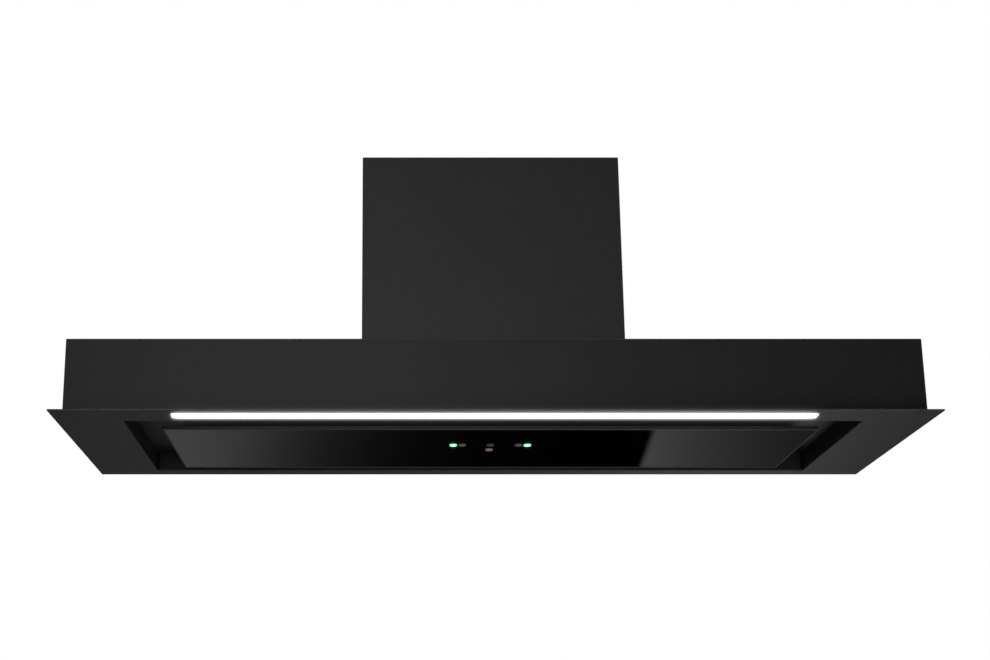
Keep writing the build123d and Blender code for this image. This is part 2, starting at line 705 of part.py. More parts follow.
def run_capacitor():
    """The motor's run capacitor, upright against the housing's back panel."""
    can = rod(CAN_X, CAN_Y, CAN_Z, CAN_R)
    part = fillet(can.edges().group_by(Axis.Z)[-1], CAN_EDGE)
    for x in about(CAN_X, TAB_X):
        part += rod(x, CAN_Y, (CAN_Z[1] - 1, CAN_Z[1] + TAB_OUT), TAB_R)
    return part


def capacitor_clip():
    """Strap round the capacitor with a foot on the back panel."""
    back = HOUSING_W / 2 - SHEET
    hole = Pos(CAN_X, CAN_Y) * Circle(CAN_R)
    low, high = STRAP_FOOT
    foot = Pos((low + high) / 2, back - STRAP_T / 2) * Rectangle(high - low, STRAP_T)
    part = along_z(Pos(CAN_X, CAN_Y) * Circle(CAN_R + STRAP_T) + foot - hole, *STRAP_Z)
    return part - rod(STRAP_SCREW_X, about(back, 3), sum(STRAP_Z) / 2, SCREW_HOLE)


def lid_screw_places():
    """The four corners of the control box."""
    return [(x, y) for x in inside(BOX_X, BOX_INSET) for y in inside(BOX_Y, BOX_INSET)]


def control_box():
    """Plastic box on the hood's top: open at the top, with a boss in each corner and posts for the board."""
    part = fillet(block(BOX_X, BOX_Y, (BODY_TOP, BOX_TOP)).edges().filter_by(Axis.Z), BOX_CORNER)
    part -= block(inside(BOX_X, BOX_WALL), inside(BOX_Y, BOX_WALL), (BODY_TOP + BOX_WALL, 2 * BOX_TOP))
    for x, y in lid_screw_places():
        part += rod(x, y, (BODY_TOP + 1, BOX_TOP), BOX_BOSS_R)
        part -= rod(x, y, (BOX_BOSS_FLOOR, 2 * BOX_TOP), SCREW_HOLE)
    for x, y in box_feet():
        part -= rod(x, y, about(BODY_TOP, 2 * BOX_WALL), SCREW_HOLE)
    for x in inside(BOX_X, POST_INSET[0]):
        for y in inside(BOX_Y, POST_INSET[1]):
            part += rod(x, y, (BODY_TOP + 1, BOARD_Z), POST_R)
    part -= rod((BOX_X[0] - 1, BOX_X[0] + 2 * BOX_WALL), CABLE_Y, CABLE_Z, GLAND_R)
    return part - rod((BOX_X[1] - 2 * BOX_WALL, BOX_X[1] + 1), LEAD_Y, CABLE_Z, LEAD_HOLE)


def control_box_lid():
    """Lid with rounded edges."""
    part = fillet(block(BOX_X, BOX_Y, (BOX_TOP, BOX_TOP + LID_T)).edges().filter_by(Axis.Z), BOX_CORNER)
    part = fillet(part.edges().group_by(Axis.Z)[-1], LID_T / 2)
    for x, y in lid_screw_places():
        part -= rod(x, y, about(BOX_TOP, 2 * LID_T), SCREW_HOLE)
    return part


def control_board():
    """Circuit board with its relays, transformer and terminal row."""
    top = BOARD_Z + BOARD_T
    part = block(inside(BOX_X, BOARD_INSET[0]), inside(BOX_Y, BOARD_INSET[1]), (BOARD_Z, top))
    wide, span_y, high = RELAY
    for x in RELAYS_X:
        part += block((x, x + wide), span_y, (top, top + high))
    for span_x, span_y, high in (TRANSFORMER, TERMINALS):
        part += block(span_x, span_y, (top, top + high))
    return part


def cable_gland():
    """Gland for the mains cable in the control box's left wall."""
    wall = BOX_X[0]
    dome = rod((wall - GLAND_OUT, wall - GLAND_HEX + 1), CABLE_Y, CABLE_Z, GLAND_DOME_R)
    part = along_x(Pos(CABLE_Y, CABLE_Z) * RegularPolygon(GLAND_HEX_R, 6), wall - GLAND_HEX, wall)
    part += fillet(dome.edges().group_by(Axis.X)[0], GLAND_EDGE)
    part += rod((wall, wall + GLAND_IN), CABLE_Y, CABLE_Z, GLAND_R)
    return part - rod((wall - 2 * GLAND_OUT, wall + GLAND_OUT), CABLE_Y, CABLE_Z, CABLE_R)


def cable_grommets():
    """Rubber grommets where the motor's lead goes through the two walls."""
    grommets = []
    for wall in ((BOX_X[1] - BOX_WALL, BOX_X[1]), (-HOUSING_W / 2, SHEET - HOUSING_W / 2)):
        flanges = rod(inside(wall, -GROMMET_LIP), LEAD_Y, CABLE_Z, LEAD_HOLE + GROMMET_LIP)
        groove = rod(wall, LEAD_Y, CABLE_Z, 2 * LEAD_HOLE) - rod(wall, LEAD_Y, CABLE_Z, LEAD_HOLE)
        hole = rod(inside(wall, -2 * GROMMET_LIP), LEAD_Y, CABLE_Z, LEAD_R)
        grommets.append(flanges - groove - hole)
    return grommets


def motor_lead():
    """The motor's lead, held at both ends by its grommets."""
    return rod((BOX_X[1] - LEAD_OUT[0], LEAD_OUT[1] - HOUSING_W / 2), LEAD_Y, CABLE_Z, LEAD_R)


def led_driver():
    """Driver for the light bar, on the deck inside the box."""
    low = DECK_Z + SHEET
    part = block(DRIVER_X, DRIVER_Y, (low, low + DRIVER_H))
    part = fillet(part.edges().group_by(Axis.Z)[-1], DRIVER_EDGE)
    ear, gap, thick = DRIVER_FOOT
    return part + block(inside(DRIVER_X, -ear), inside(DRIVER_Y, gap), (low, low + thick))


def led_diffuser():
    """Opal cover: a strip that fills the slot, with a lip that rests on the flange."""
    end = LED_W / 2 - SLACK
    strip = block(about(0, end), about(LED_Y, LED_SLOT_D / 2 - SLACK), (0.1, PLATE_T))
    return strip + block(about(0, end), about(LED_Y, LED_BODY_D / 2), (PLATE_T, PLATE_T + LED_LIP_T))


def led_profile():
    """Aluminium channel over the cover, open downwards."""
    low, side = PLATE_T + LED_LIP_T, about(LED_Y, LED_BODY_D / 2)
    channel = block(about(0, LED_W / 2), side, (low, LED_TOP))
    return channel - block(about(0, LED_W), inside(side, LED_WALL), (0, LED_TOP - LED_WALL))


def led_board():
    """Strip board under the channel's roof with its row of LEDs facing down."""
    high = LED_TOP - LED_WALL
    board = block(about(0, LED_W / 2 - CAP_T), about(LED_Y, STRIP_W / 2), (high - BOARD_T, high))
    under = (high - BOARD_T - CHIP_W / 3, high - BOARD_T)
    places = [CHIP_PITCH * (i - (CHIPS - 1) / 2) for i in range(CHIPS)]
    return board + [block(about(x, CHIP_W / 2), about(LED_Y, CHIP_W / 2), under) for x in places]


def led_end_caps():
    """Caps that close both ends of the channel."""
    cap = block((LED_W / 2, LED_W / 2 + CAP_T), about(LED_Y, LED_BODY_D / 2), (PLATE_T, LED_TOP))
    return mirrored(fillet(cap.edges().group_by(Axis.X)[-1], CAP_T / 3))


def led_clips():
    """Bent straps that hold the channel down, each with a foot under a nut."""
    front, back, foot = LED_Y - STRIP_W / 2, LED_Y + LED_BODY_D / 2, CLIP_STUD_Y + CLIP_FOOT
    section = polygon((front, LED_TOP), (front, LED_TOP + SHEET), (back + SHEET, LED_TOP + SHEET),
                      (back + SHEET, PLATE_T + SHEET), (foot, PLATE_T + SHEET), (foot, PLATE_T),
                      (back, PLATE_T), (back, LED_TOP))
    return [along_x(section, *about(x, CLIP_W / 2)) - rod(x, y, (0, LED_TOP / 2), CLIP_STUD_R + SLACK / 2)
            for x, y in clip_places()]


def window_places(places):
    """Solid ovals through the glass at a row of the sensor's places."""
    oval = SlotCenterToCenter(WINDOW_D - WINDOW_W, WINDOW_W, rotation=90)
    return [along_z(Pos(SENSOR_X + x, SENSOR_Y + y) * oval, 0, GLASS_T) for x, y in places]


def glass_panel():
    """Black glass with a fine arris all round its face and an opening for each window."""
    outline = RectangleRounded(GLASS_W, GLASS_Y[1] - GLASS_Y[0], GLASS_CORNER)
    part = along_z(Pos(0, sum(GLASS_Y) / 2) * outline, 0, GLASS_T)
    part = chamfer(part.edges().group_by(Axis.Z)[0], ARRIS)
    return part - window_places(DIM_WINDOWS + LIT_WINDOWS)


def bond_tape():
    """Tape that bonds the glass to its tray, all round."""
    x, y = about(0, TRAY_W / 2 - TAPE_INSET), inside(TRAY_Y, TAPE_INSET)
    ring = block(x, y, (GLASS_T, TRAY_Z))
    return ring - block(inside(x, TAPE_W), inside(y, TAPE_W), (0, 2 * TRAY_Z))


def panel_tray():
    """Steel tray behind the glass: a floor with lips folded up, cut out for the sensor and the hinges."""
    x = about(0, TRAY_W / 2)
    part = block(x, TRAY_Y, (TRAY_Z, TRAY_LIP))
    part = fillet(part.edges().group_by(Axis.Z)[0], BEND)
    part -= block(inside(x, SHEET), inside(TRAY_Y, SHEET), (TRAY_Z + SHEET, 2 * TRAY_LIP))
    part -= block(inside(COVER_X, -2), inside(COVER_Y, -2), (0, 2 * TRAY_LIP))
    for side in (-1, 1):
        notch = about(side * HINGE_X, LEAF_W / 2 + TRAY_NOTCH)
        part -= block(notch, about(TRAY_Y[1], 3 * SHEET), (TRAY_Z + SHEET, 2 * TRAY_LIP))
    return part


def hinge_leaves():
    """The panel's two hinge leaves: a foot on the tray and a barrel round the pin."""
    low = TRAY_Z + SHEET
    start, bend = PIVOT_Y - LEAF_FOOT[0], PIVOT_Y - LEAF_FOOT[1]
    foot = polygon((start, low), (bend, low), (PIVOT_Y, PIVOT_Z - LEAF_T * 2), (PIVOT_Y, PIVOT_Z),
                   (bend + LEAF_T / 3, low + LEAF_T), (start, low + LEAF_T))
    section = foot + Pos(PIVOT_Y, PIVOT_Z) * Circle(BARREL_R)
    section -= Pos(PIVOT_Y, PIVOT_Z) * Circle(PIN_R + RUNNING)
    return mirrored(along_x(section, *about(HINGE_X, LEAF_W / 2 - LEAF_T / 5)))


def hinge_brackets():
    """Brackets under the deck, each with two ears that hold a pin."""
    back = PIVOT_Y + EAR_R
    root = PIVOT_Y - LEAF_FOOT[1]
    ear = polygon((root, DECK_Z), (back, DECK_Z), (back, PIVOT_Z), (PIVOT_Y - EAR_R, PIVOT_Z))
    ear += Pos(PIVOT_Y, PIVOT_Z) * Circle(EAR_R)
    ear -= Pos(PIVOT_Y, PIVOT_Z) * Circle(PIN_R)
    out = about(HINGE_X, LEAF_W / 2 + EAR_T)
    part = block(out, (PIVOT_Y - BRACKET_FOOT, back), (DECK_Z - PLATE_T, DECK_Z))
    part += along_x(ear, out[0], out[0] + EAR_T)
    part += along_x(ear, out[1] - EAR_T, out[1])
    for x in about(HINGE_X, HINGE_SCREW[0]):
        part -= rod(x, HINGE_SCREW[1], about(DECK_Z, 2 * PLATE_T), SCREW_HOLE)
    return mirrored(part)


def hinge_pins():
    """Pins pressed into the brackets' ears."""
    return mirrored(rod(about(HINGE_X, LEAF_W / 2 + EAR_T + 1), PIVOT_Y, PIVOT_Z, PIN_R))


def magnet_catches():
    """Magnet catches under the deck, one at each end of the filter openings."""
    body = block(about(CATCH_X, CATCH_W / 2), about(CATCH_Y, CATCH_D / 2), (CATCH_Z, DECK_Z))
    body = fillet(body.edges().filter_by(Axis.Z), BEND)
    body -= rod(CATCH_X, CATCH_Y, (CATCH_Z - 1, CATCH_Z + CATCH_SINK), HEAD_R + 0.7)
    body -= rod(CATCH_X, CATCH_Y, (CATCH_Z, DECK_Z + 1), SCREW_HOLE)
    return mirrored(body)


def striker_plates():
    """Steel plates bent up from the tray to meet the catches."""
    low, high = TRAY_Z + SHEET, CATCH_Z - 2 * SLACK
    start, step, end = CATCH_X - STRIKER_FOOT[0], CATCH_X - STRIKER_FOOT[1], CATCH_X + 2
    section = polygon((start, low), (step, low), (step, high - SHEET), (end, high - SHEET), (end, high),
                      (step - SHEET, high), (step - SHEET, low + SHEET), (start, low + SHEET))
    return mirrored(extrude(Plane.XZ.offset(STRIKER_D / 2 - CATCH_Y) * section, -STRIKER_D))


def sensor_cover():
    """Cover over the sensor's board, on the back of the glass."""
    part = block(COVER_X, COVER_Y, (GLASS_T, COVER_TOP))
    part = fillet(part.edges().group_by(Axis.Z)[-1], COVER_WALL)
    part -= block(inside(COVER_X, COVER_WALL), inside(COVER_Y, COVER_WALL), (0, COVER_TOP - COVER_WALL))
    wide, high = PLUG_HOLE
    return part - block(about(COVER_X[1], wide), about(SENSOR_Y + PLUG_AT[1], wide), about(GLASS_T + 5, high))


def sensor_board():
    """The sensor's circuit board with its chip and connector, flat on the back of the glass."""
    top = GLASS_T + BOARD_T
    part = block(inside(COVER_X, 4), inside(COVER_Y, 3), (GLASS_T, top))
    for x, y, half, high in (CHIP_AT, PLUG_AT):
        part += block(about(SENSOR_X + x, half), about(SENSOR_Y + y, half), (top, top + high))
    return part


def filter_span():
    """The right filter's outline: its X and Y spans."""
    return inside(WELL_X, FILTER_GAP), inside(WELL_Y, FILTER_GAP)


def filter_frame():
    """Right filter's frame: C-section rails, two pegs at the back and the latch's pocket in front."""
    x, y = filter_span()
    z = (FILTER_Z, FILTER_Z + FILTER_H)
    middle, front = sum(x) / 2, y[0]
    part = block(x, y, z)
    part -= block(inside(x, RAIL_W), inside(y, RAIL_W), (0, 2 * DECK_Z))
    part -= block(inside(x, FRAME_T), inside(y, FRAME_T), inside(z, FRAME_T))
    part += block(about(middle, POCKET_W / 2), (front, front + POCKET_D), z)
    pocket_y = (front + 2 * FRAME_T, front + POCKET_D - 2 * POCKET_T)
    half, hole_start, hole_end = FINGER_HOLE
    part -= block(about(middle, LATCH_W / 2 + SLACK), pocket_y, inside(z, POCKET_T))
    part -= block(about(middle, BOLT_W / 2 + 0.3), (front - 1, front + 3), inside(BOLT_Z, -0.3))
    part -= block(about(middle, half), (front + hole_start, front + hole_end), (0, z[0] + 2))
    for peg in about(middle, PEG_X):
        part += block(about(peg, PEG_W / 2), (y[1] - 1, y[1] + PEG_OUT), PEG_Z)
    return part


def filter_mesh():
    """Right filter's mesh: a stack held between the rails, with rows of diamond openings."""
    x, y = filter_span()
    x, y = inside(x, FRAME_T), inside(y, FRAME_T)
    grid_x, grid_y = inside(x, RAIL_W), inside(y, RAIL_W)
    step_x, step_y = (grid_x[1] - grid_x[0]) / MESH_COLS, (grid_y[1] - grid_y[0]) / MESH_ROWS
    rx, ry = step_x * MESH_OPEN, step_y * MESH_OPEN
    middle, pocket_end = sum(x) / 2, filter_span()[1][0] + POCKET_D + 1
    stack = (FILTER_Z + FRAME_T, FILTER_Z + FILTER_H - FRAME_T)
    diamond = polygon((-rx, 0), (0, -ry), (rx, 0), (0, ry))
    part = block(x, y, stack) - block(about(middle, POCKET_W / 2 + 1), (2 * y[0], pocket_end), (0, 2 * DECK_Z))
    holes = []
    for i in range(MESH_COLS):
        for j in range(MESH_ROWS):
            px, py = grid_x[0] + (i + 0.5) * step_x, grid_y[0] + (j + 0.5) * step_y
            if abs(px - middle) > POCKET_W / 2 + rx + 2 or py > pocket_end + ry:
                holes.append(Pos(px, py) * diamond)
    return part - along_z(Sketch() + holes, 0, 2 * DECK_Z)


def filter_latch():
    """Right filter's latch: a slider with a bolt in front and a finger ridge below."""
    x, y = filter_span()
    middle, front = sum(x) / 2, y[0]
    z = inside((FILTER_Z, FILTER_Z + FILTER_H), POCKET_T + SLACK)
    start = front + LATCH_START
    part = block(about(middle, LATCH_W / 2), (start, start + LATCH_D), z)
    part += block(about(middle, BOLT_W / 2), about(front, BOLT_OUT), BOLT_Z)
    half, low, high = RIDGE
    ridge = block(about(middle, half), (front + low, front + high), (FILTER_Z + SLACK, z[0] + 1))
    return part + fillet(ridge.edges().group_by(Axis.Z)[0], RIDGE_EDGE)


def latch_spring():
    """Right filter's latch spring: a leaf folded into a zigzag between the slider and the pocket."""
    x, y = filter_span()
    middle, start = sum(x) / 2, y[0] + LATCH_START + LATCH_D
    crest = y[0] + POCKET_D - 2 * POCKET_T - SPRING_T
    front = [(middle + SPRING_STEP * i, crest if i % 2 else start) for i in range(-2, 3)]
    back = [(px, py + SPRING_T) for px, py in reversed(front)]
    return along_z(polygon(*front, *back), *BOLT_Z)


def casing_screws():
    """Screws of the housing, its back panel, the spigot's base, the control box and its lid."""
    feet = [screw((x, y, BODY_TOP + SHEET), (0, 0, 1), 5) for x, y in housing_feet()]
    box = [screw((x, y, BODY_TOP + BOX_WALL), (0, 0, 1), 5) for x, y in box_feet()]
    rear = back_screw_places() + [(STRAP_SCREW_X, sum(STRAP_Z) / 2)]
    back = [screw((x, HOUSING_W / 2, z), (0, 1, 0), 5) for x, z in rear]
    collar = [screw((x, y, HOUSING_TOP - SHEET + COLLAR_T), (0, 0, 1), 9) for x, y in collar_screw_places()]
    lid = [screw((x, y, BOX_TOP + LID_T), (0, 0, 1), 8) for x, y in lid_screw_places()]
    return feet + box + back + collar + lid


def sub_parts():
    """Every sub-part under its node's name."""
    parts = {
        "bottom_frame": bottom_frame(),
        "frame_nuts": frame_nuts(),
        "body_shell": body_shell(),
        "filter_deck": filter_deck(),
        "deck_screws": deck_screws(),
        "housing_wrap": housing_wrap(),
        "housing_back": housing_back(),
        "housing_top": housing_top(),
        "casing_screws": casing_screws(),
        "outlet_collar": outlet_collar(),
        "outlet_gasket": outlet_gasket(),
        "flap_pin": flap_pin(),
        "flap_front": flap(-1, FRONT_KNUCKLES),
        "flap_rear": flap(1, REAR_KNUCKLES),
        "scroll_screws": scroll_screws(),
        "inlet_guard": inlet_guard(),
        "impeller": impeller(),
        "impeller_nut": impeller_nut(),
        "motor_shaft": motor_shaft(),
        "fan_motor": fan_motor(),
        "motor_bracket": motor_bracket(),
        "motor_bushes": motor_bushes(),
        "run_capacitor": run_capacitor(),
        "capacitor_clip": capacitor_clip(),
        "control_box": control_box(),
        "control_box_lid": control_box_lid(),
        "control_board": control_board(),
        "cable_gland": cable_gland(),
        "cable_grommets": cable_grommets(),
        "motor_lead": motor_lead(),
        "led_driver": led_driver(),
        "led_diffuser": led_diffuser(),
        "led_profile": led_profile(),
        "led_board": led_board(),
        "led_end_caps": led_end_caps(),
        "led_clips": led_clips(),
        "glass_panel": glass_panel(),
        "sensor_windows": window_places(DIM_WINDOWS),
        "status_lights": window_places(LIT_WINDOWS),
        "sensor_cover": sensor_cover(),
        "sensor_board": sensor_board(),
        "bond_tape": bond_tape(),
        "panel_tray": panel_tray(),
        "hinge_leaves": hinge_leaves(),
        "hinge_brackets": hinge_brackets(),
        "hinge_pins": hinge_pins(),
        "magnet_catches": magnet_catches(),
        "striker_plates": striker_plates(),
    }
    pairs = {"fan_scroll": fan_scroll(), "filter_frame": filter_frame(), "filter_mesh": filter_mesh(),
             "filter_latch": filter_latch(), "latch_spring": latch_spring()}
    for name, part in pairs.items():
        parts[name + "_right"], parts[name + "_left"] = mirrored(part)
    return parts


os.makedirs("parts", exist_ok=True)
for name, part in sub_parts().items():
    pieces = part if isinstance(part, list) else [part]
    solids = [solid for piece in pieces for solid in piece.solids()]
    export_step(Compound(solids), f"parts/{name}.step")
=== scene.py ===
import json
import math

import bmesh
import bpy
from mathutils import Matrix, Vector
from mathutils.geometry import tessellate_polygon

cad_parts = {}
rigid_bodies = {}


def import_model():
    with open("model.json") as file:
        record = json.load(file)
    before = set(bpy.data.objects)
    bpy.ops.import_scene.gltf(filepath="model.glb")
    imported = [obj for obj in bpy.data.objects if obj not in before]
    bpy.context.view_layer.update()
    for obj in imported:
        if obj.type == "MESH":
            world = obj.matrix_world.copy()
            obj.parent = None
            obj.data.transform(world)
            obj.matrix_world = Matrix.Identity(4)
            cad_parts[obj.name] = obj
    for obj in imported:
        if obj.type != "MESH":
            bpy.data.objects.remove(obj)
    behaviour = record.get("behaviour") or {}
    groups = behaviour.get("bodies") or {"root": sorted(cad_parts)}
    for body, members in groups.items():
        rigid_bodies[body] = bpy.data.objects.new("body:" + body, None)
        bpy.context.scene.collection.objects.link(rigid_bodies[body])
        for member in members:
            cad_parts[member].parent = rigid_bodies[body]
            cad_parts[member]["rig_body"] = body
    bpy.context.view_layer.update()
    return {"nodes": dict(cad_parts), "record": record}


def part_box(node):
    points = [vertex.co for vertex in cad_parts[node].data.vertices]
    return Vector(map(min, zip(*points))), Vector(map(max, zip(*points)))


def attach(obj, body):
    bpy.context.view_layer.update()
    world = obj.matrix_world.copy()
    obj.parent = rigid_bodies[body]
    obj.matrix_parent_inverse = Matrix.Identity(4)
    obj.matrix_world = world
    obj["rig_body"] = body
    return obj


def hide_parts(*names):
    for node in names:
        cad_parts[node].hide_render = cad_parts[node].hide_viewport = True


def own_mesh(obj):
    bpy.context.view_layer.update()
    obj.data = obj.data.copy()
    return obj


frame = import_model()

# The looks of a built-in range hood. Metres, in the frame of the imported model.
NODES = frame["nodes"]
SLOTS = {part["node"]: part["material_slot"] for part in frame["record"]["subparts"]}

MM = 0.001

# Camera: its focal length and the picture's width in pixels, its film's width in millimetres, and its
# pitch, place and shift
FOCAL_PX = 1508.91
WIDTH_PX = 990
FILM_W = 36.0
PITCH = math.radians(14.2006)
EYE = (-0.10418, -1.61163, -0.38493)
SHIFT = (0.1042, 0.0960)

# Powder coat: its colour, and how well the rounded and the true surface agree where an edge begins and
# where it is full
POWDER = (0.0175, 0.0175, 0.0178)
EDGE_AGREES = (0.98, 0.8)

# Flange plate, the start of its recess's end walls, and how far up them a painted shade darkens them
PLATE_T = 1.5 * MM
RECESS_END = 380 * MM
RECESS_SHADE_RISE = 2.5 * MM

# Light bar: its middle from front to back, and how far apart its LEDs sit
LAMP_Y = -128.2 * MM
LED_PITCH = 17 * MM

# Glass panel: its rounded lower edge, and a fine bead round its face
ARRIS = 0.5 * MM
ARRIS_STEPS = 5
GLASS_CORNER = 1.0 * MM
INNER_CORNER = 0.1 * MM
BEAD_W = 0.8 * MM
BEAD_H = 0.4 * MM

# The sensor's centre, and its windows from there: a lit one at each end, three dim ones between them and
# a fourth behind
SENSOR = (4.0 * MM, 1.0 * MM)
WINDOW_R = 4.0 * MM
WINDOW_HALF = 1.75 * MM
LIT_X = 40.7 * MM
DIM_X = 30.9 * MM
BACK_Y = 22.0 * MM
WINDOWS = ((-DIM_X, 0.0), (0.0, 0.0), (0.0, BACK_Y), (DIM_X, 0.0), (-LIT_X, 0.0), (LIT_X, 0.0))

# Filter mesh: the latch's pocket that it leaves free, its rim and strands, and each sheet's height with
# the length and width of its diamonds
POCKET_HALF = 27.5 * MM
POCKET_END = 34.0 * MM
NET_RIM = 1.0 * MM
STRAND = 0.75 * MM
NET_SHEETS = ((1.4 * MM, (9.6 * MM, 4.8 * MM)), (4.6 * MM, (7.2 * MM, 6.0 * MM)))

# Screws: the head and the shank, the recess's cross, and the thread's pitch with the share of the shank
# left at its root
HEAD_R = 3.3 * MM
HEAD_H = 1.9 * MM
SHANK_R = 1.6 * MM
CROSS_HALF = 0.28 * MM
CROSS_ARM = 1.35 * MM
CROSS_DEPTH = 1.0 * MM
THREAD = 1.2 * MM
ROOT = 0.78
SCREW_SIDES = 24

# Floor: its height and half width, and its glow to the camera near the middle and far off, with the
# distances between which that changes
FLOOR_Z = -0.9
FLOOR_HALF = 14.0
FLOOR_GLOW = (0.76, 1.0, 1.5, 8.0)

# What the mirror card shows from its left end to its right: a wide light that fades out, a dark gap, and
# a light with a sharp left edge that dies away, each drawn in this many steps
MIRROR_X = (-0.62, 0.78)
MIRROR_STEPS = 12
SOFT_LIGHT = 0.19
SOFT_EDGE = -0.392
SOFT_FADE = 0.05
SHARP_LIGHT = 0.17
SHARP_EDGE = (0.351, 0.356)
SHARP_FADE = 0.185

# Grey that the room sheds on the object from all sides
ROOM_LIGHT = 0.03

# Halo round the lamps: (reach in pixels, share of the light)
HALO = ((4, 0.24), (14, 0.012))


class Finish:
    """A material in the making: a Principled shader, and nodes that vary its colour, gloss and surface."""

    def __init__(self, name, color, roughness, metallic=0.0, **sockets):
        self.material = bpy.data.materials.new(name)
        self.material.use_nodes = True
        self.tree = self.material.node_tree
        self.shader = self.tree.nodes["Principled BSDF"]
        self.color = (*color, 1.0)
        self.shader.inputs["Base Color"].default_value = self.color
        self.shader.inputs["Roughness"].default_value = roughness
        self.shader.inputs["Metallic"].default_value = metallic
        for socket, value in sockets.items():
            self.shader.inputs[socket.replace("_", " ")].default_value = value
        self.place = self.add("ShaderNodeTexCoord").outputs["Object"]
        self.normal = None

    def round_edges(self, radius):
        """Shades sharp edges as if rounded, and gives how near an edge a place is."""
        node = self.add("ShaderNodeBevel", samples=6)
        self.feed(node.inputs["Radius"], radius)
        self.normal = node.outputs["Normal"]
        agree = self.add("ShaderNodeVectorMath", operation="DOT_PRODUCT")
        self.feed(agree.inputs[0], self.normal)
        self.feed(agree.inputs[1], self.add("ShaderNodeNewGeometry").outputs["Normal"])
        return self.span(agree.outputs["Value"], 0.0, 1.0, *EDGE_AGREES)

    def add(self, kind, **settings):
        """Adds a node with these properties."""
        node = self.tree.nodes.new(kind)
        for key, value in settings.items():
            setattr(node, key, value)
        return node

    def feed(self, socket, value):
        """Gives a socket a number, a colour or another node's output."""
        if isinstance(value, bpy.types.NodeSocket):
            self.tree.links.new(value, socket)
        else:
            socket.default_value = value

    def stretched(self, stretch):
        """The place on the object, scaled along each axis."""
        if stretch == (1, 1, 1):
            return self.place
        node = self.add("ShaderNodeMapping")
        self.feed(node.inputs["Vector"], self.place)
        self.feed(node.inputs["Scale"], stretch)
        return node.outputs["Vector"]

    def noise(self, scale, detail=2.0, stretch=(1, 1, 1), roughness=0.5):
        """Cloudy noise from 0 to 1."""
        node = self.add("ShaderNodeTexNoise")
        self.feed(node.inputs["Vector"], self.stretched(stretch))
        self.feed(node.inputs["Scale"], scale)
        self.feed(node.inputs["Detail"], detail)
        self.feed(node.inputs["Roughness"], roughness)
        return node.outputs["Fac"]

    def cells(self, scale, output="Color", feature="F1", stretch=(1, 1, 1)):
        """Cells of a Voronoi pattern."""
        node = self.add("ShaderNodeTexVoronoi", feature=feature)
        self.feed(node.inputs["Vector"], self.stretched(stretch))
        self.feed(node.inputs["Scale"], scale)
        return node.outputs[output]

    def axis(self, name):
        """One coordinate of the place on the object."""
        node = self.add("ShaderNodeSeparateXYZ")
        self.feed(node.inputs[0], self.place)
        return node.outputs[name]

    def math(self, operation, *values):
        """The result of a sum on numbers or outputs."""
        node = self.add("ShaderNodeMath", operation=operation)
        for socket, value in zip(node.inputs, values):
            self.feed(socket, value)
        return node.outputs[0]

    def span(self, value, low, high, start=0.0, end=1.0):
        """Maps start..end of a value to low..high."""
        node = self.add("ShaderNodeMapRange")
        for socket, number in zip(node.inputs, (value, start, end, low, high)):
            self.feed(socket, number)
        return node.outputs[0]

    def blend(self, factor, first, second):
        """Mixes two colours."""
        node = self.add("ShaderNodeMix", data_type="RGBA")
        self.feed(node.inputs["Factor"], factor)
        self.feed(node.inputs[6], first)
        self.feed(node.inputs[7], second)
        return node.outputs[2]

    def shade(self, amount):
        """The base colour made darker or lighter by an amount."""
        return tuple(min(1.0, value * amount) for value in self.color[:3]) + (1.0,)

    def vary_color(self, factor, dark, light):
        """Varies the base colour between two amounts of itself."""
        self.feed(self.shader.inputs["Base Color"], self.blend(factor, self.shade(dark), self.shade(light)))

    def vary_gloss(self, factor, low, high, start=0.3, end=0.7):
        """Varies the roughness."""
        self.feed(self.shader.inputs["Roughness"], self.span(factor, low, high, start, end))

    def bump(self, height, strength, distance):
        """Adds relief, on top of any that is there."""
        node = self.add("ShaderNodeBump")
        self.feed(node.inputs["Height"], height)
        self.feed(node.inputs["Strength"], strength)
        self.feed(node.inputs["Distance"], distance)
        if self.normal:
            self.feed(node.inputs["Normal"], self.normal)
        self.normal = node.outputs["Normal"]
        self.feed(self.shader.inputs["Normal"], self.normal)


def powder_coat(name, tone, edge=0.7 * MM, recess_shade=None, wear_and_highlight=1.3, bare=0.0, gloss=0.38):
    """Fine-textured matt black powder coat: a mottle of about a millimetre and a slow drift of tone.

    The recess shade is the share of its tone left on the recess's end walls, a painted shade. Over an edge,
    wear and highlight is its tone, partly rubbed wear and partly a painted highlight, and bare the share of
    metal that shines through."""
    finish = Finish(name, [value * tone for value in POWDER], 0.55, Specular_IOR_Level=gloss)
    edges = finish.round_edges(edge)
    grain = finish.noise(620, detail=3, roughness=0.6)
    cloud = finish.noise(14, detail=3)
    both = finish.math("ADD", finish.math("MULTIPLY", grain, 0.8), finish.math("MULTIPLY", cloud, 0.2))
    coat = finish.blend(finish.span(both, 0.0, 1.0, 0.3, 0.7), finish.shade(0.72), finish.shade(1.3))
    # Painted shade: beyond the recess's ends its walls are darkened from the plate's top upwards
    if recess_shade:
        up = finish.span(finish.axis("Z"), 0.0, 1.0, PLATE_T, PLATE_T + RECESS_SHADE_RISE)
        out = finish.math("GREATER_THAN", finish.math("ABSOLUTE", finish.axis("X")), RECESS_END)
        coat = finish.blend(finish.math("MULTIPLY", up, out), coat, finish.shade(recess_shade))
    # Over its edges the coat is lightened: partly rubbed wear, partly a painted highlight
    finish.feed(finish.shader.inputs["Base Color"], finish.blend(edges, coat, finish.shade(wear_and_highlight)))
    if bare:
        finish.feed(finish.shader.inputs["Metallic"], finish.math("MULTIPLY", edges, bare))
    finish.vary_gloss(grain, 0.5, 0.62)
    finish.bump(grain, 0.35, 0.00012)
    finish.bump(finish.noise(240, detail=2), 0.25, 0.0003)
    return finish.material


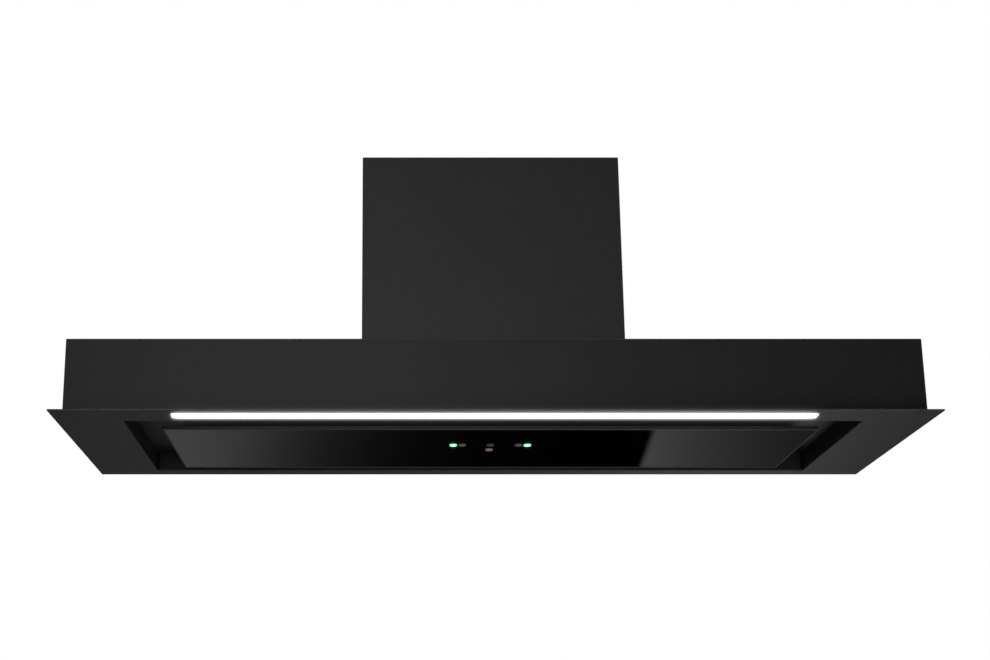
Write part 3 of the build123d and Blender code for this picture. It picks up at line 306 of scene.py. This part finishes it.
def black_glass():
    """Black glass: polished, with the faintest wave and a few dull smears."""
    finish = Finish("black_glass", (0.0012, 0.0012, 0.0014), 0.03, IOR=1.5)
    smear = finish.noise(9, detail=5, stretch=(1, 2.5, 1))
    finish.vary_gloss(smear, 0.015, 0.05)
    finish.vary_color(smear, 0.7, 1.3)
    finish.bump(finish.noise(5, detail=1), 0.02, 0.0004)
    return finish.material


def ground_glass():
    """The ground edge of black glass: matt grey with the fine lines of the wheel along it."""
    finish = Finish("ground_glass", (0.024, 0.025, 0.025), 0.45, IOR=1.5)
    lines = finish.noise(1400, detail=2, stretch=(0.05, 0.05, 1))
    finish.vary_color(lines, 0.85, 1.2)
    finish.vary_gloss(lines, 0.38, 0.52)
    finish.bump(lines, 0.2, 0.00005)
    return finish.material


def bead_highlight_finish():
    """The fine satin bead round the glass's face, painted light grey: a painted highlight line round the
    glass.
    """
    # Painted highlight: this light grey draws a bright line round the glass's face
    finish = Finish("glass_bead_highlight", (0.16, 0.165, 0.165), 0.4)
    grain = finish.noise(900, detail=2)
    finish.vary_color(grain, 0.85, 1.15)
    finish.vary_gloss(grain, 0.34, 0.48)
    finish.bump(grain, 0.15, 0.00004)
    return finish.material


def lit_opal():
    """Opal cover lit from behind by a row of LEDs."""
    finish = Finish("lit_opal", (0.9, 0.91, 0.9), 0.35, Emission_Strength=7.0)
    chips = finish.math("SINE", finish.math("MULTIPLY", finish.axis("X"), 2 * math.pi / LED_PITCH))
    milk = finish.noise(90, detail=3)
    glow = finish.math("ADD", finish.math("MULTIPLY", chips, 0.15), milk)
    finish.feed(finish.shader.inputs["Emission Color"],
                finish.blend(finish.span(glow, 0, 1, 0.2, 0.8), (0.93, 0.95, 0.95, 1), (1, 1, 0.985, 1)))
    finish.bump(milk, 0.1, 0.0001)
    return finish.material


def beside_sensor(finish):
    """How far to either side of the sensor's centre a place is."""
    return finish.math("ABSOLUTE", finish.math("SUBTRACT", finish.axis("X"), SENSOR[0]))


def lit_green():
    """Clear windows lit green: a near-white core in a green rim."""
    finish = Finish("lit_green", (0.3, 0.8, 0.5), 0.2, Emission_Strength=2.6)
    across = finish.math("SUBTRACT", beside_sensor(finish), LIT_X)
    along = finish.math("SUBTRACT", finish.axis("Y"), SENSOR[1])
    across = finish.math("POWER", finish.math("DIVIDE", across, WINDOW_R), 2.0)
    along = finish.math("POWER", finish.math("DIVIDE", along, WINDOW_R + WINDOW_HALF), 2.0)
    out = finish.math("SQRT", finish.math("ADD", across, along))
    cloud = finish.math("MULTIPLY", finish.noise(900, detail=2), 0.15)
    edge = finish.span(finish.math("ADD", out, cloud), 0, 1, 0.45, 1.0)
    finish.feed(finish.shader.inputs["Emission Color"],
                finish.blend(edge, (0.62, 1.0, 0.72, 1), (0.03, 0.42, 0.13, 1)))
    return finish.material


def dark_window():
    """Smoked sensor windows with a faint painted glow, the back one pinker."""
    finish = Finish("dark_window", (0.035, 0.03, 0.034), 0.12, Emission_Strength=0.9)
    # Painted glow: these windows are no lamps, yet they give off a faint light, broken by dark specks
    side = finish.math("GREATER_THAN", beside_sensor(finish), DIM_X / 2)
    back = finish.math("GREATER_THAN", finish.axis("Y"), SENSOR[1] + BACK_Y / 2)
    front = finish.blend(side, (0.04, 0.037, 0.039, 1), (0.085, 0.07, 0.08, 1))
    color = finish.blend(back, front, (0.21, 0.14, 0.15, 1))
    speck = finish.noise(1200, detail=2)
    finish.feed(finish.shader.inputs["Emission Color"],
                finish.blend(finish.span(speck, 0, 0.35), color, (0.01, 0.01, 0.01, 1)))
    finish.vary_gloss(speck, 0.08, 0.2)
    return finish.material


def filter_metal():
    """Black anodised aluminium: satin, with rolling lines and a drift of tone."""
    finish = Finish("filter_metal", (0.11, 0.11, 0.113), 0.42, metallic=0.85)
    lines = finish.noise(900, detail=3, stretch=(0.03, 1, 1))
    cloud = finish.noise(25, detail=3)
    finish.vary_color(cloud, 0.75, 1.3)
    finish.vary_gloss(lines, 0.33, 0.5)
    finish.bump(lines, 0.15, 0.00005)
    return finish.material


def galvanised():
    """Galvanised sheet: flakes of zinc crystal a few millimetres wide, each with its own tone and gloss."""
    finish = Finish("galvanised", (0.34, 0.345, 0.35), 0.5, metallic=0.85)
    flake = finish.add("ShaderNodeSeparateColor")
    finish.feed(flake.inputs[0], finish.cells(260))
    finish.vary_color(flake.outputs[0], 0.86, 1.08)
    finish.vary_gloss(flake.outputs[1], 0.45, 0.58, 0.0, 1.0)
    finish.bump(finish.noise(400, detail=3), 0.15, 0.0001)
    return finish.material


def zinc_steel():
    """Bright zinc plate with a faint straw cast and fine handling marks."""
    finish = Finish("zinc_steel", (0.58, 0.58, 0.55), 0.28, metallic=1.0)
    cloud = finish.noise(160, detail=4)
    finish.vary_color(cloud, 0.8, 1.15)
    finish.vary_gloss(finish.noise(700, detail=3), 0.2, 0.4)
    finish.bump(finish.noise(1500, detail=2), 0.2, 0.00004)
    return finish.material


def cast_aluminium():
    """Satin cast aluminium with a fine sandy skin."""
    finish = Finish("cast_aluminium", (0.6, 0.61, 0.62), 0.45, metallic=0.95)
    sand = finish.noise(900, detail=3)
    finish.vary_color(finish.noise(60, detail=3), 0.82, 1.12)
    finish.vary_gloss(sand, 0.38, 0.55)
    finish.bump(sand, 0.3, 0.0001)
    return finish.material


def moulded(name, color, roughness):
    """Moulded plastic with a fine spark-eroded grain."""
    finish = Finish(name, color, roughness, Specular_IOR_Level=0.45)
    grain = finish.cells(1500, "Distance")
    finish.vary_color(finish.noise(30, detail=3), 0.85, 1.15)
    finish.vary_gloss(finish.noise(500, detail=2), roughness - 0.06, roughness + 0.08)
    finish.bump(grain, 0.25, 0.00008)
    return finish.material


def circuit_board():
    """Green solder mask with copper tracks under it."""
    finish = Finish("circuit_board", (0.02, 0.14, 0.06), 0.3, Specular_IOR_Level=0.5)
    tracks = finish.cells(230, "Distance", "DISTANCE_TO_EDGE", (1, 0.4, 1))
    copper = finish.math("LESS_THAN", tracks, 0.09)
    finish.vary_color(copper, 1.0, 2.1)
    finish.vary_gloss(finish.noise(300, detail=2), 0.22, 0.4)
    finish.bump(copper, 0.3, 0.00003)
    return finish.material


def rubber():
    """Soft black rubber with a dusty bloom."""
    finish = Finish("rubber", (0.018, 0.018, 0.018), 0.8, Specular_IOR_Level=0.3)
    bloom = finish.noise(120, detail=4)
    finish.vary_color(bloom, 0.7, 1.6)
    finish.vary_gloss(bloom, 0.7, 0.9)
    finish.bump(finish.noise(1200, detail=2), 0.2, 0.00008)
    return finish.material


FINISHES = {
    "powder_black": powder_coat("powder_black", 0.9),
    "black_glass": black_glass(),
    "lit_opal": lit_opal(),
    "lit_green": lit_green(),
    "dark_window": dark_window(),
    "filter_metal": filter_metal(),
    "galvanised": galvanised(),
    "zinc_steel": zinc_steel(),
    "cast_aluminium": cast_aluminium(),
    "black_plastic": moulded("black_plastic", (0.02, 0.02, 0.021), 0.5),
    "pale_plastic": moulded("pale_plastic", (0.7, 0.7, 0.68), 0.4),
    "circuit_board": circuit_board(),
    "rubber": rubber(),
}
# The powder coat again in its own tones, as painted light and shade: the housing painted lighter, the body
# and the deck (the recess's ceiling) painted darker; the flange's coat holds a painted shade and a painted
# highlight
PAINTED_LIGHT_COATS = {
    "housing_wrap": powder_coat("powder_housing_lit", 1.28),
    "body_shell": powder_coat("powder_body_shaded", 0.78),
    "bottom_frame": powder_coat("powder_flange_painted_light", 0.98, edge=1.4 * MM, recess_shade=0.06, wear_and_highlight=8.0, bare=0.9),
    "filter_deck": powder_coat("powder_deck_shaded", 0.45, gloss=0.25),
}
for node, obj in NODES.items():
    obj.data.materials.clear()
    obj.data.materials.append(PAINTED_LIGHT_COATS.get(node, FINISHES[SLOTS[node]]))


def piece(name, bm, node, sharp=35):
    """A new mesh that stands for a node: it takes the node's body and finish."""
    mesh = bpy.data.meshes.new(name)
    bmesh.ops.recalc_face_normals(bm, faces=bm.faces[:])
    for edge in bm.edges:
        edge.smooth = len(edge.link_faces) == 2 and edge.calc_face_angle(0) < math.radians(sharp)
    for face in bm.faces:
        face.smooth = True
    bm.to_mesh(mesh)
    bm.free()
    obj = bpy.data.objects.new(name, mesh)
    bpy.context.scene.collection.objects.link(obj)
    mesh.materials.append(FINISHES[SLOTS[node]])
    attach(obj, NODES[node]["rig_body"])
    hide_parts(node)
    return obj


def rounded_loop(x, y, radius, steps=4):
    """Points round a rectangle with rounded corners, anticlockwise."""
    points = []
    for i, (cx, cy) in enumerate(((x[1], y[1]), (x[0], y[1]), (x[0], y[0]), (x[1], y[0]))):
        mid_x = cx - math.copysign(radius, cx - sum(x) / 2)
        mid_y = cy - math.copysign(radius, cy - sum(y) / 2)
        for k in range(steps + 1):
            angle = math.radians(90 * (i + k / steps))
            points.append((mid_x + radius * math.cos(angle), mid_y + radius * math.sin(angle)))
    return points


def oval(x, y, steps=8):
    """Points round one of the sensor's windows."""
    points = []
    for centre, start in ((y + WINDOW_HALF, 0), (y - WINDOW_HALF, math.pi)):
        for k in range(steps + 1):
            angle = math.pi * k / steps + start
            points.append((x + WINDOW_R * math.cos(angle), centre + WINDOW_R * math.sin(angle)))
    return points


def ring(bm, points, z):
    """Adds a loop of vertices at a height."""
    return [bm.verts.new((x, y, z)) for x, y in points]


def skin(bm, lower, upper):
    """Joins two loops of vertices with a wall of faces."""
    for i in range(len(lower)):
        k = (i + 1) % len(lower)
        bm.faces.new((lower[i], lower[k], upper[k], upper[i]))


def sheet_with_holes(bm, outer, holes):
    """Fills the flat space between a loop of vertices and the loops inside it."""
    loops = [outer] + holes
    verts = [vert for loop in loops for vert in loop]
    for tri in tessellate_polygon([[vert.co for vert in loop] for loop in loops]):
        bm.faces.new([verts[i] for i in tri])


def glass_sheet():
    """The glass with its rounded lower edge, its bead and an opening for each window."""
    low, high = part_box("glass_panel")
    bm = bmesh.new()
    holes = [oval(SENSOR[0] + x, SENSOR[1] + y) for x, y in WINDOWS]

    def outline(inset):
        corner = max(GLASS_CORNER - inset, INNER_CORNER)
        return rounded_loop((low.x + inset, high.x - inset), (low.y + inset, high.y - inset), corner)

    loops = []
    for k in range(ARRIS_STEPS + 1):
        angle = math.radians(90 * k / ARRIS_STEPS)
        inset = ARRIS * (1 - math.sin(angle))
        loops.append(ring(bm, outline(inset), low.z + ARRIS * (1 - math.cos(angle))))
    loops.append(ring(bm, outline(0.0), high.z))
    for below, above in zip(loops, loops[1:]):
        skin(bm, below, above)
    bead = outline(ARRIS + BEAD_W)
    foot, face_edge = ring(bm, bead, low.z), ring(bm, bead, low.z + BEAD_H)
    skin(bm, foot, loops[0])
    edge_faces = len(bm.faces)
    skin(bm, face_edge, foot)
    bead_faces = len(bm.faces)
    under = [ring(bm, points, low.z + BEAD_H) for points in holes]
    over = [ring(bm, points, high.z) for points in holes]
    for below, above in zip(under, over):
        skin(bm, below, above)
    sheet_with_holes(bm, face_edge, under)
    sheet_with_holes(bm, loops[-1], over)
    obj = piece("glass_sheet", bm, "glass_panel", sharp=50)
    obj.data.materials.append(ground_glass())
    obj.data.materials.append(bead_highlight_finish())
    for i, face in enumerate(obj.data.polygons[:bead_faces]):
        face.material_index = 1 if i < edge_faces else 2


def expanded_sheet(bm, x, y, z, pitch, notch):
    """A sheet of diamonds over a rectangle, left out over the notch."""
    cols, rows = round((x[1] - x[0]) / pitch[0]), round((y[1] - y[0]) / pitch[1])
    step_x, step_y = (x[1] - x[0]) / cols, (y[1] - y[0]) / rows
    verts = {}

    def vert(i, j):
        if (i, j) not in verts:
            verts[i, j] = bm.verts.new((x[0] + i * step_x / 2, y[0] + j * step_y / 2, z))
        return verts[i, j]

    for i in range(1, 2 * cols):
        for j in range(1, 2 * rows):
            if (i + j) % 2:
                continue
            px, py = x[0] + i * step_x / 2, y[0] + j * step_y / 2
            if abs(px - notch[0]) < notch[1] + step_x / 2 and py < notch[2] + step_y / 2:
                continue
            bm.faces.new((vert(i - 1, j), vert(i, j - 1), vert(i + 1, j), vert(i, j + 1)))


def filter_net(side):
    """The filter's stack of expanded metal: two sheets of diamonds of different size."""
    node = f"filter_mesh_{side}"
    low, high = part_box(node)
    notch = ((low.x + high.x) / 2, POCKET_HALF, low.y + POCKET_END)
    x, y = (low.x + NET_RIM, high.x - NET_RIM), (low.y + NET_RIM, high.y - NET_RIM)
    bm = bmesh.new()
    for up, pitch in NET_SHEETS:
        expanded_sheet(bm, x, y, low.z + up, pitch, notch)
    obj = piece(f"filter_net_{side}", bm, node)
    wire = obj.modifiers.new("strands", "WIREFRAME")
    wire.thickness = STRAND
    wire.use_even_offset = False


def latch_spring(side):
    """A latch's zigzag spring, as a piece with its own copy of the node's mesh."""
    node = f"latch_spring_{side}"
    bm = bmesh.new()
    bm.from_mesh(NODES[node].data)
    bmesh.ops.remove_doubles(bm, verts=bm.verts[:], dist=1e-6)
    obj = piece(f"spring_leaf_{side}", bm, node)
    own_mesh(obj)


def cross_loop(half, arm):
    """Points round a plus sign, anticlockwise from its right arm."""
    corner = [(arm, -half), (arm, half), (half, half)]
    points = []
    for k in range(4):
        turn = Matrix.Rotation(math.radians(90 * k), 2)
        points += [tuple(turn @ Vector(p)) for p in corner]
    return points


def screw_mesh(bm, place, length):
    """A pan-head screw with a cross recess and a ridged shank: its head's seat at the origin, its head up."""
    start = len(bm.verts)
    profile = [(HEAD_R, 0.0), (HEAD_R, 0.5 * MM), (0.93 * HEAD_R, 1.15 * MM), (0.75 * HEAD_R, 1.6 * MM),
               (0.5 * HEAD_R, HEAD_H)]
    z = 0.0
    shank = [(SHANK_R, 0.0)]
    while z - THREAD > MM - length:
        shank += [(SHANK_R, z - 0.2 * THREAD), (ROOT * SHANK_R, z - 0.6 * THREAD), (SHANK_R, z - THREAD)]
        z -= THREAD
    shank.append((0.3 * SHANK_R, -length))
    angles = [2 * math.pi * i / SCREW_SIDES for i in range(SCREW_SIDES)]
    around = [(math.cos(angle), math.sin(angle)) for angle in angles]

    def turned(rings):
        loops = [ring(bm, [(r * c, r * s) for c, s in around], level) for r, level in rings]
        for below, above in zip(loops, loops[1:]):
            skin(bm, below, above)
        return loops

    head, foot = turned(profile), turned(shank)
    bm.faces.new(foot[-1])
    sheet_with_holes(bm, head[0], [foot[0]])
    cross = cross_loop(CROSS_HALF, CROSS_ARM)
    top, floor = ring(bm, cross, HEAD_H), ring(bm, cross, HEAD_H - CROSS_DEPTH)
    skin(bm, floor, top)
    sheet_with_holes(bm, head[-1], [top])
    bm.faces.new(floor)
    bm.verts.ensure_lookup_table()
    for vert in bm.verts[start:]:
        vert.co = place @ vert.co


def islands(obj):
    """The separate solids of a CAD node, as lists of their vertices' places."""
    bm = bmesh.new()
    bm.from_mesh(obj.data)
    bmesh.ops.remove_doubles(bm, verts=bm.verts[:], dist=1e-6)
    left, found = set(bm.verts), []
    while left:
        stack, island = [left.pop()], []
        while stack:
            vert = stack.pop()
            island.append(vert.co.copy())
            for edge in vert.link_edges:
                other = edge.other_vert(vert)
                if other in left:
                    left.remove(other)
                    stack.append(other)
        found.append(island)
    bm.free()
    return sorted(found, key=lambda island: tuple(round(v, 5) for v in sum(island, Vector()) / len(island)))


def detailed_screws(node):
    """Screws with recesses and threads at the places and sizes of a node's plain ones.

    The axis is where a screw's size isn't its head's, and the head is at the end that its wide part is
    nearer to. Each is turned a little further than the last."""
    bm = bmesh.new()
    for count, island in enumerate(islands(NODES[node])):
        low = Vector([min(v[k] for v in island) for k in range(3)])
        high = Vector([max(v[k] for v in island) for k in range(3)])
        size = high - low
        middle = (low + high) / 2
        axis = max(range(3), key=lambda k: abs(size[k] - 2 * HEAD_R))
        along = Vector([float(k == axis) for k in range(3)])
        wide = [v[axis] for v in island if (v - middle - (v - middle).project(along)).length > 0.8 * HEAD_R]
        up = 1 if sum(wide) / len(wide) > middle[axis] else -1
        seat = middle.copy()
        seat[axis] = (high if up > 0 else low)[axis] - up * HEAD_H
        out = Vector([float(up * (k == axis)) for k in range(3)])
        turn = Matrix.Rotation(math.radians(37 * count), 4, "Z")
        place = Matrix.Translation(seat) @ out.to_track_quat("Z", "Y").to_matrix().to_4x4() @ turn
        screw_mesh(bm, place, size[axis] - HEAD_H)
    piece(node + "_detail", bm, node)


glass_sheet()
for side in ("left", "right"):
    filter_net(side)
    latch_spring(side)
for node in ("casing_screws", "scroll_screws", "deck_screws"):
    detailed_screws(node)


def plane(name, x, y, z, material):
    """A flat piece of the studio: the X of its ends, and the Y and the Z of its two long edges."""
    corners = [(x[0], y[0], z[0]), (x[1], y[0], z[0]), (x[1], y[1], z[1]), (x[0], y[1], z[1])]
    mesh = bpy.data.meshes.new(name)
    mesh.from_pydata(corners, [], [(0, 1, 2, 3)])
    obj = bpy.data.objects.new(name, mesh)
    bpy.context.scene.collection.objects.link(obj)
    mesh.materials.append(material)
    return obj


def floor_finish():
    """Plain pale floor: bright to look at, a greyer bounce on what hangs above it, and clear from below."""
    finish = Finish("studio_floor", (0.23, 0.23, 0.23), 0.8)
    finish.vary_color(finish.noise(3, detail=2), 0.98, 1.02)
    seen = finish.add("ShaderNodeLightPath").outputs["Is Camera Ray"]
    far = finish.add("ShaderNodeVectorMath", operation="LENGTH")
    finish.feed(far.inputs[0], finish.place)
    glow = finish.span(far.outputs["Value"], *FLOOR_GLOW)
    finish.feed(finish.shader.inputs["Emission Color"], (1, 1, 0.995, 1))
    finish.feed(finish.shader.inputs["Emission Strength"], finish.math("MULTIPLY", seen, glow))
    clear = finish.add("ShaderNodeMixShader")
    finish.feed(clear.inputs[0], finish.add("ShaderNodeNewGeometry").outputs["Backfacing"])
    finish.feed(clear.inputs[1], finish.shader.outputs[0])
    finish.feed(clear.inputs[2], finish.add("ShaderNodeBsdfTransparent").outputs[0])
    finish.feed(finish.tree.nodes["Material Output"].inputs["Surface"], clear.outputs[0])
    return finish.material


def card_finish(name, middle, lean, stops):
    """Light that changes along X by stops of (X, brightness), and leans with height."""
    finish = Finish(name, (0, 0, 0), 1.0)
    rise = finish.math("MULTIPLY", finish.math("SUBTRACT", finish.axis("Z"), middle), -lean)
    along = finish.math("ADD", finish.axis("X"), rise)
    ramp = finish.add("ShaderNodeFloatCurve")
    start, end = stops[0][0], stops[-1][0]
    finish.feed(ramp.inputs["Value"], finish.span(along, 0, 1, start, end))
    curve = ramp.mapping.curves[0]
    points = [((x - start) / (end - start), value) for x, value in stops]
    curve.points[0].location = points[0]
    curve.points[1].location = points[-1]
    for point in points[1:-1]:
        curve.points.new(*point)
    for point in curve.points:
        point.handle_type = "VECTOR"
    ramp.mapping.update()
    light = finish.add("ShaderNodeEmission")
    finish.feed(light.inputs["Strength"], ramp.outputs[0])
    finish.feed(finish.tree.nodes["Material Output"].inputs["Surface"], light.outputs[0])
    return finish.material


def mirror_stops():
    """The mirror card's light along X, from the curves of its soft and its sharp light."""
    dark, bright = SHARP_EDGE
    stops = []
    for i in range(MIRROR_STEPS + 1):
        x = MIRROR_X[0] + (dark - MIRROR_X[0]) * i / MIRROR_STEPS
        stops.append((x, SOFT_LIGHT / math.sqrt(1 + math.exp((x - SOFT_EDGE) / SOFT_FADE))))
    for i in range(MIRROR_STEPS + 1):
        x = bright + (MIRROR_X[1] - bright) * i / MIRROR_STEPS
        stops.append((x, SHARP_LIGHT * math.exp((bright - x) / SHARP_FADE)))
    return stops


def card(name, y, z, lean, stops):
    """A card that shows only where something glossy mirrors it."""
    x = (stops[0][0], stops[-1][0])
    obj = plane(name, x, y, z, card_finish(name, sum(z) / 2, lean, stops))
    for kind in ("camera", "diffuse", "transmission", "volume_scatter", "shadow"):
        setattr(obj, "visible_" + kind, False)


# Each card: the Y and the Z of its lower and upper edges, how far its light leans per metre of height, and
# its stops of (X, brightness)
CARDS = {
    "mirror_card": ((1.0, 1.0), (-0.36, -0.12), -0.4, mirror_stops()),
    "low_card": ((1.0, 1.0), (-0.88, -0.37), 0.0, (
        (-0.9, 0.0), (-0.5, 0.22), (0.2, 0.4), (0.46, 1.6), (0.6, 1.5), (0.71, 0.0), (1.2, 0.0))),
    "edge_card": ((-0.3, -0.9), (-0.7, -0.6), 0.0, ((0.0, 0.0), (0.3, 5.0), (0.55, 5.0), (0.8, 0.0))),
    "back_card": ((2.5, 2.5), (-0.12, 0.9), 0.0, ((-0.6, 0.0), (0.0, 0.3), (0.8, 0.6), (3.0, 0.6))),
}
FLOOR_SPAN = (-FLOOR_HALF, FLOOR_HALF)
plane("studio_floor", FLOOR_SPAN, FLOOR_SPAN, (FLOOR_Z, FLOOR_Z), floor_finish())
for name, pattern in CARDS.items():
    card(name, *pattern)


def soft_light(name, place, aim, size, power):
    """A rectangular soft box that points at a place."""
    light = bpy.data.lights.new(name, "AREA")
    light.shape = "RECTANGLE"
    light.size, light.size_y = size
    light.energy = power
    obj = bpy.data.objects.new(name, light)
    obj.location = place
    obj.rotation_euler = (Vector(aim) - Vector(place)).to_track_quat("-Z", "Y").to_euler()
    obj.visible_camera = False
    bpy.context.scene.collection.objects.link(obj)


# Each light: its place, where it points, its width and height, and its power in watts. The lamp's light
# stands for what the light bar throws on the metal round it.
LAMP_LIGHT_Y = LAMP_Y + 3 * MM
LIGHTS = {
    "light_front": ((-0.28, -1.2, 0.14), (-0.26, 0, 0.1), (0.7, 0.7), 3.8),
    "light_top": ((0.0, 0.3, 2.6), (0, 0, 0), (2.4, 2.4), 95),
    "light_edge": ((0.75, -1.0, -0.8), (0.3, 0, 0), (0.5, 0.5), 1),
    "light_lamp": ((0, LAMP_LIGHT_Y, -2.5 * MM), (0, LAMP_LIGHT_Y, 0), (0.65, 0.012), 0.2),
    "light_back": ((-0.6, 2.6, 1.2), (0, 0, 0.1), (1.8, 1.2), 45),
    "light_right": ((2.6, 0.5, 0.7), (0, 0.1, 0.1), (1.4, 1.2), 30),
    "light_left": ((-2.6, 0.5, 0.7), (0, 0.1, 0.1), (1.4, 1.2), 20),
}
for name, box in LIGHTS.items():
    soft_light(name, *box)


def studio_world():
    """White to the camera, and a soft grey round the object for its light."""
    world = bpy.data.worlds.new("studio")
    world.use_nodes = True
    nodes, links = world.node_tree.nodes, world.node_tree.links
    grey = nodes["Background"]
    grey.inputs["Color"].default_value = (1, 1, 1, 1)
    grey.inputs["Strength"].default_value = ROOM_LIGHT
    white = nodes.new("ShaderNodeBackground")
    white.inputs["Color"].default_value = (1, 1, 1, 1)
    seen = nodes.new("ShaderNodeLightPath")
    mix = nodes.new("ShaderNodeMixShader")
    links.new(seen.outputs["Is Camera Ray"], mix.inputs[0])
    links.new(grey.outputs[0], mix.inputs[1])
    links.new(white.outputs[0], mix.inputs[2])
    links.new(mix.outputs[0], nodes["World Output"].inputs["Surface"])
    return world


scene = bpy.context.scene
scene.world = studio_world()
scene.view_settings.view_transform = "Standard"

camera_data = bpy.data.cameras.new("camera")
camera_data.sensor_width = FILM_W
camera_data.lens = FOCAL_PX * FILM_W / WIDTH_PX
camera_data.shift_x, camera_data.shift_y = SHIFT
camera_data.clip_start = 0.01
camera = bpy.data.objects.new("camera", camera_data)
camera.location = EYE
camera.rotation_euler = (math.radians(90) + PITCH, 0, 0)
scene.collection.objects.link(camera)
scene.camera = camera


def halo():
    """The soft spread of a lens round what is brighter than white."""
    scene.use_nodes = True
    tree = scene.node_tree
    tree.nodes.clear()
    layers = tree.nodes.new("CompositorNodeRLayers")
    out = tree.nodes.new("CompositorNodeComposite")

    def mixed(blend, first, second, factor=1.0):
        node = tree.nodes.new("CompositorNodeMixRGB")
        node.blend_type = blend
        node.inputs[0].default_value = factor
        for socket, value in zip(node.inputs[1:], (first, second)):
            if isinstance(value, bpy.types.NodeSocket):
                tree.links.new(value, socket)
            else:
                socket.default_value = value
        return node.outputs[0]

    picture = layers.outputs["Image"]
    over = mixed("LIGHTEN", mixed("SUBTRACT", picture, (1, 1, 1, 1)), (0, 0, 0, 1))
    for size, amount in HALO:
        blur = tree.nodes.new("CompositorNodeBlur")
        blur.filter_type = "GAUSS"
        blur.size_x = blur.size_y = size
        tree.links.new(over, blur.inputs["Image"])
        picture = mixed("ADD", picture, blur.outputs[0], amount)
    tree.links.new(picture, out.inputs["Image"])


halo()
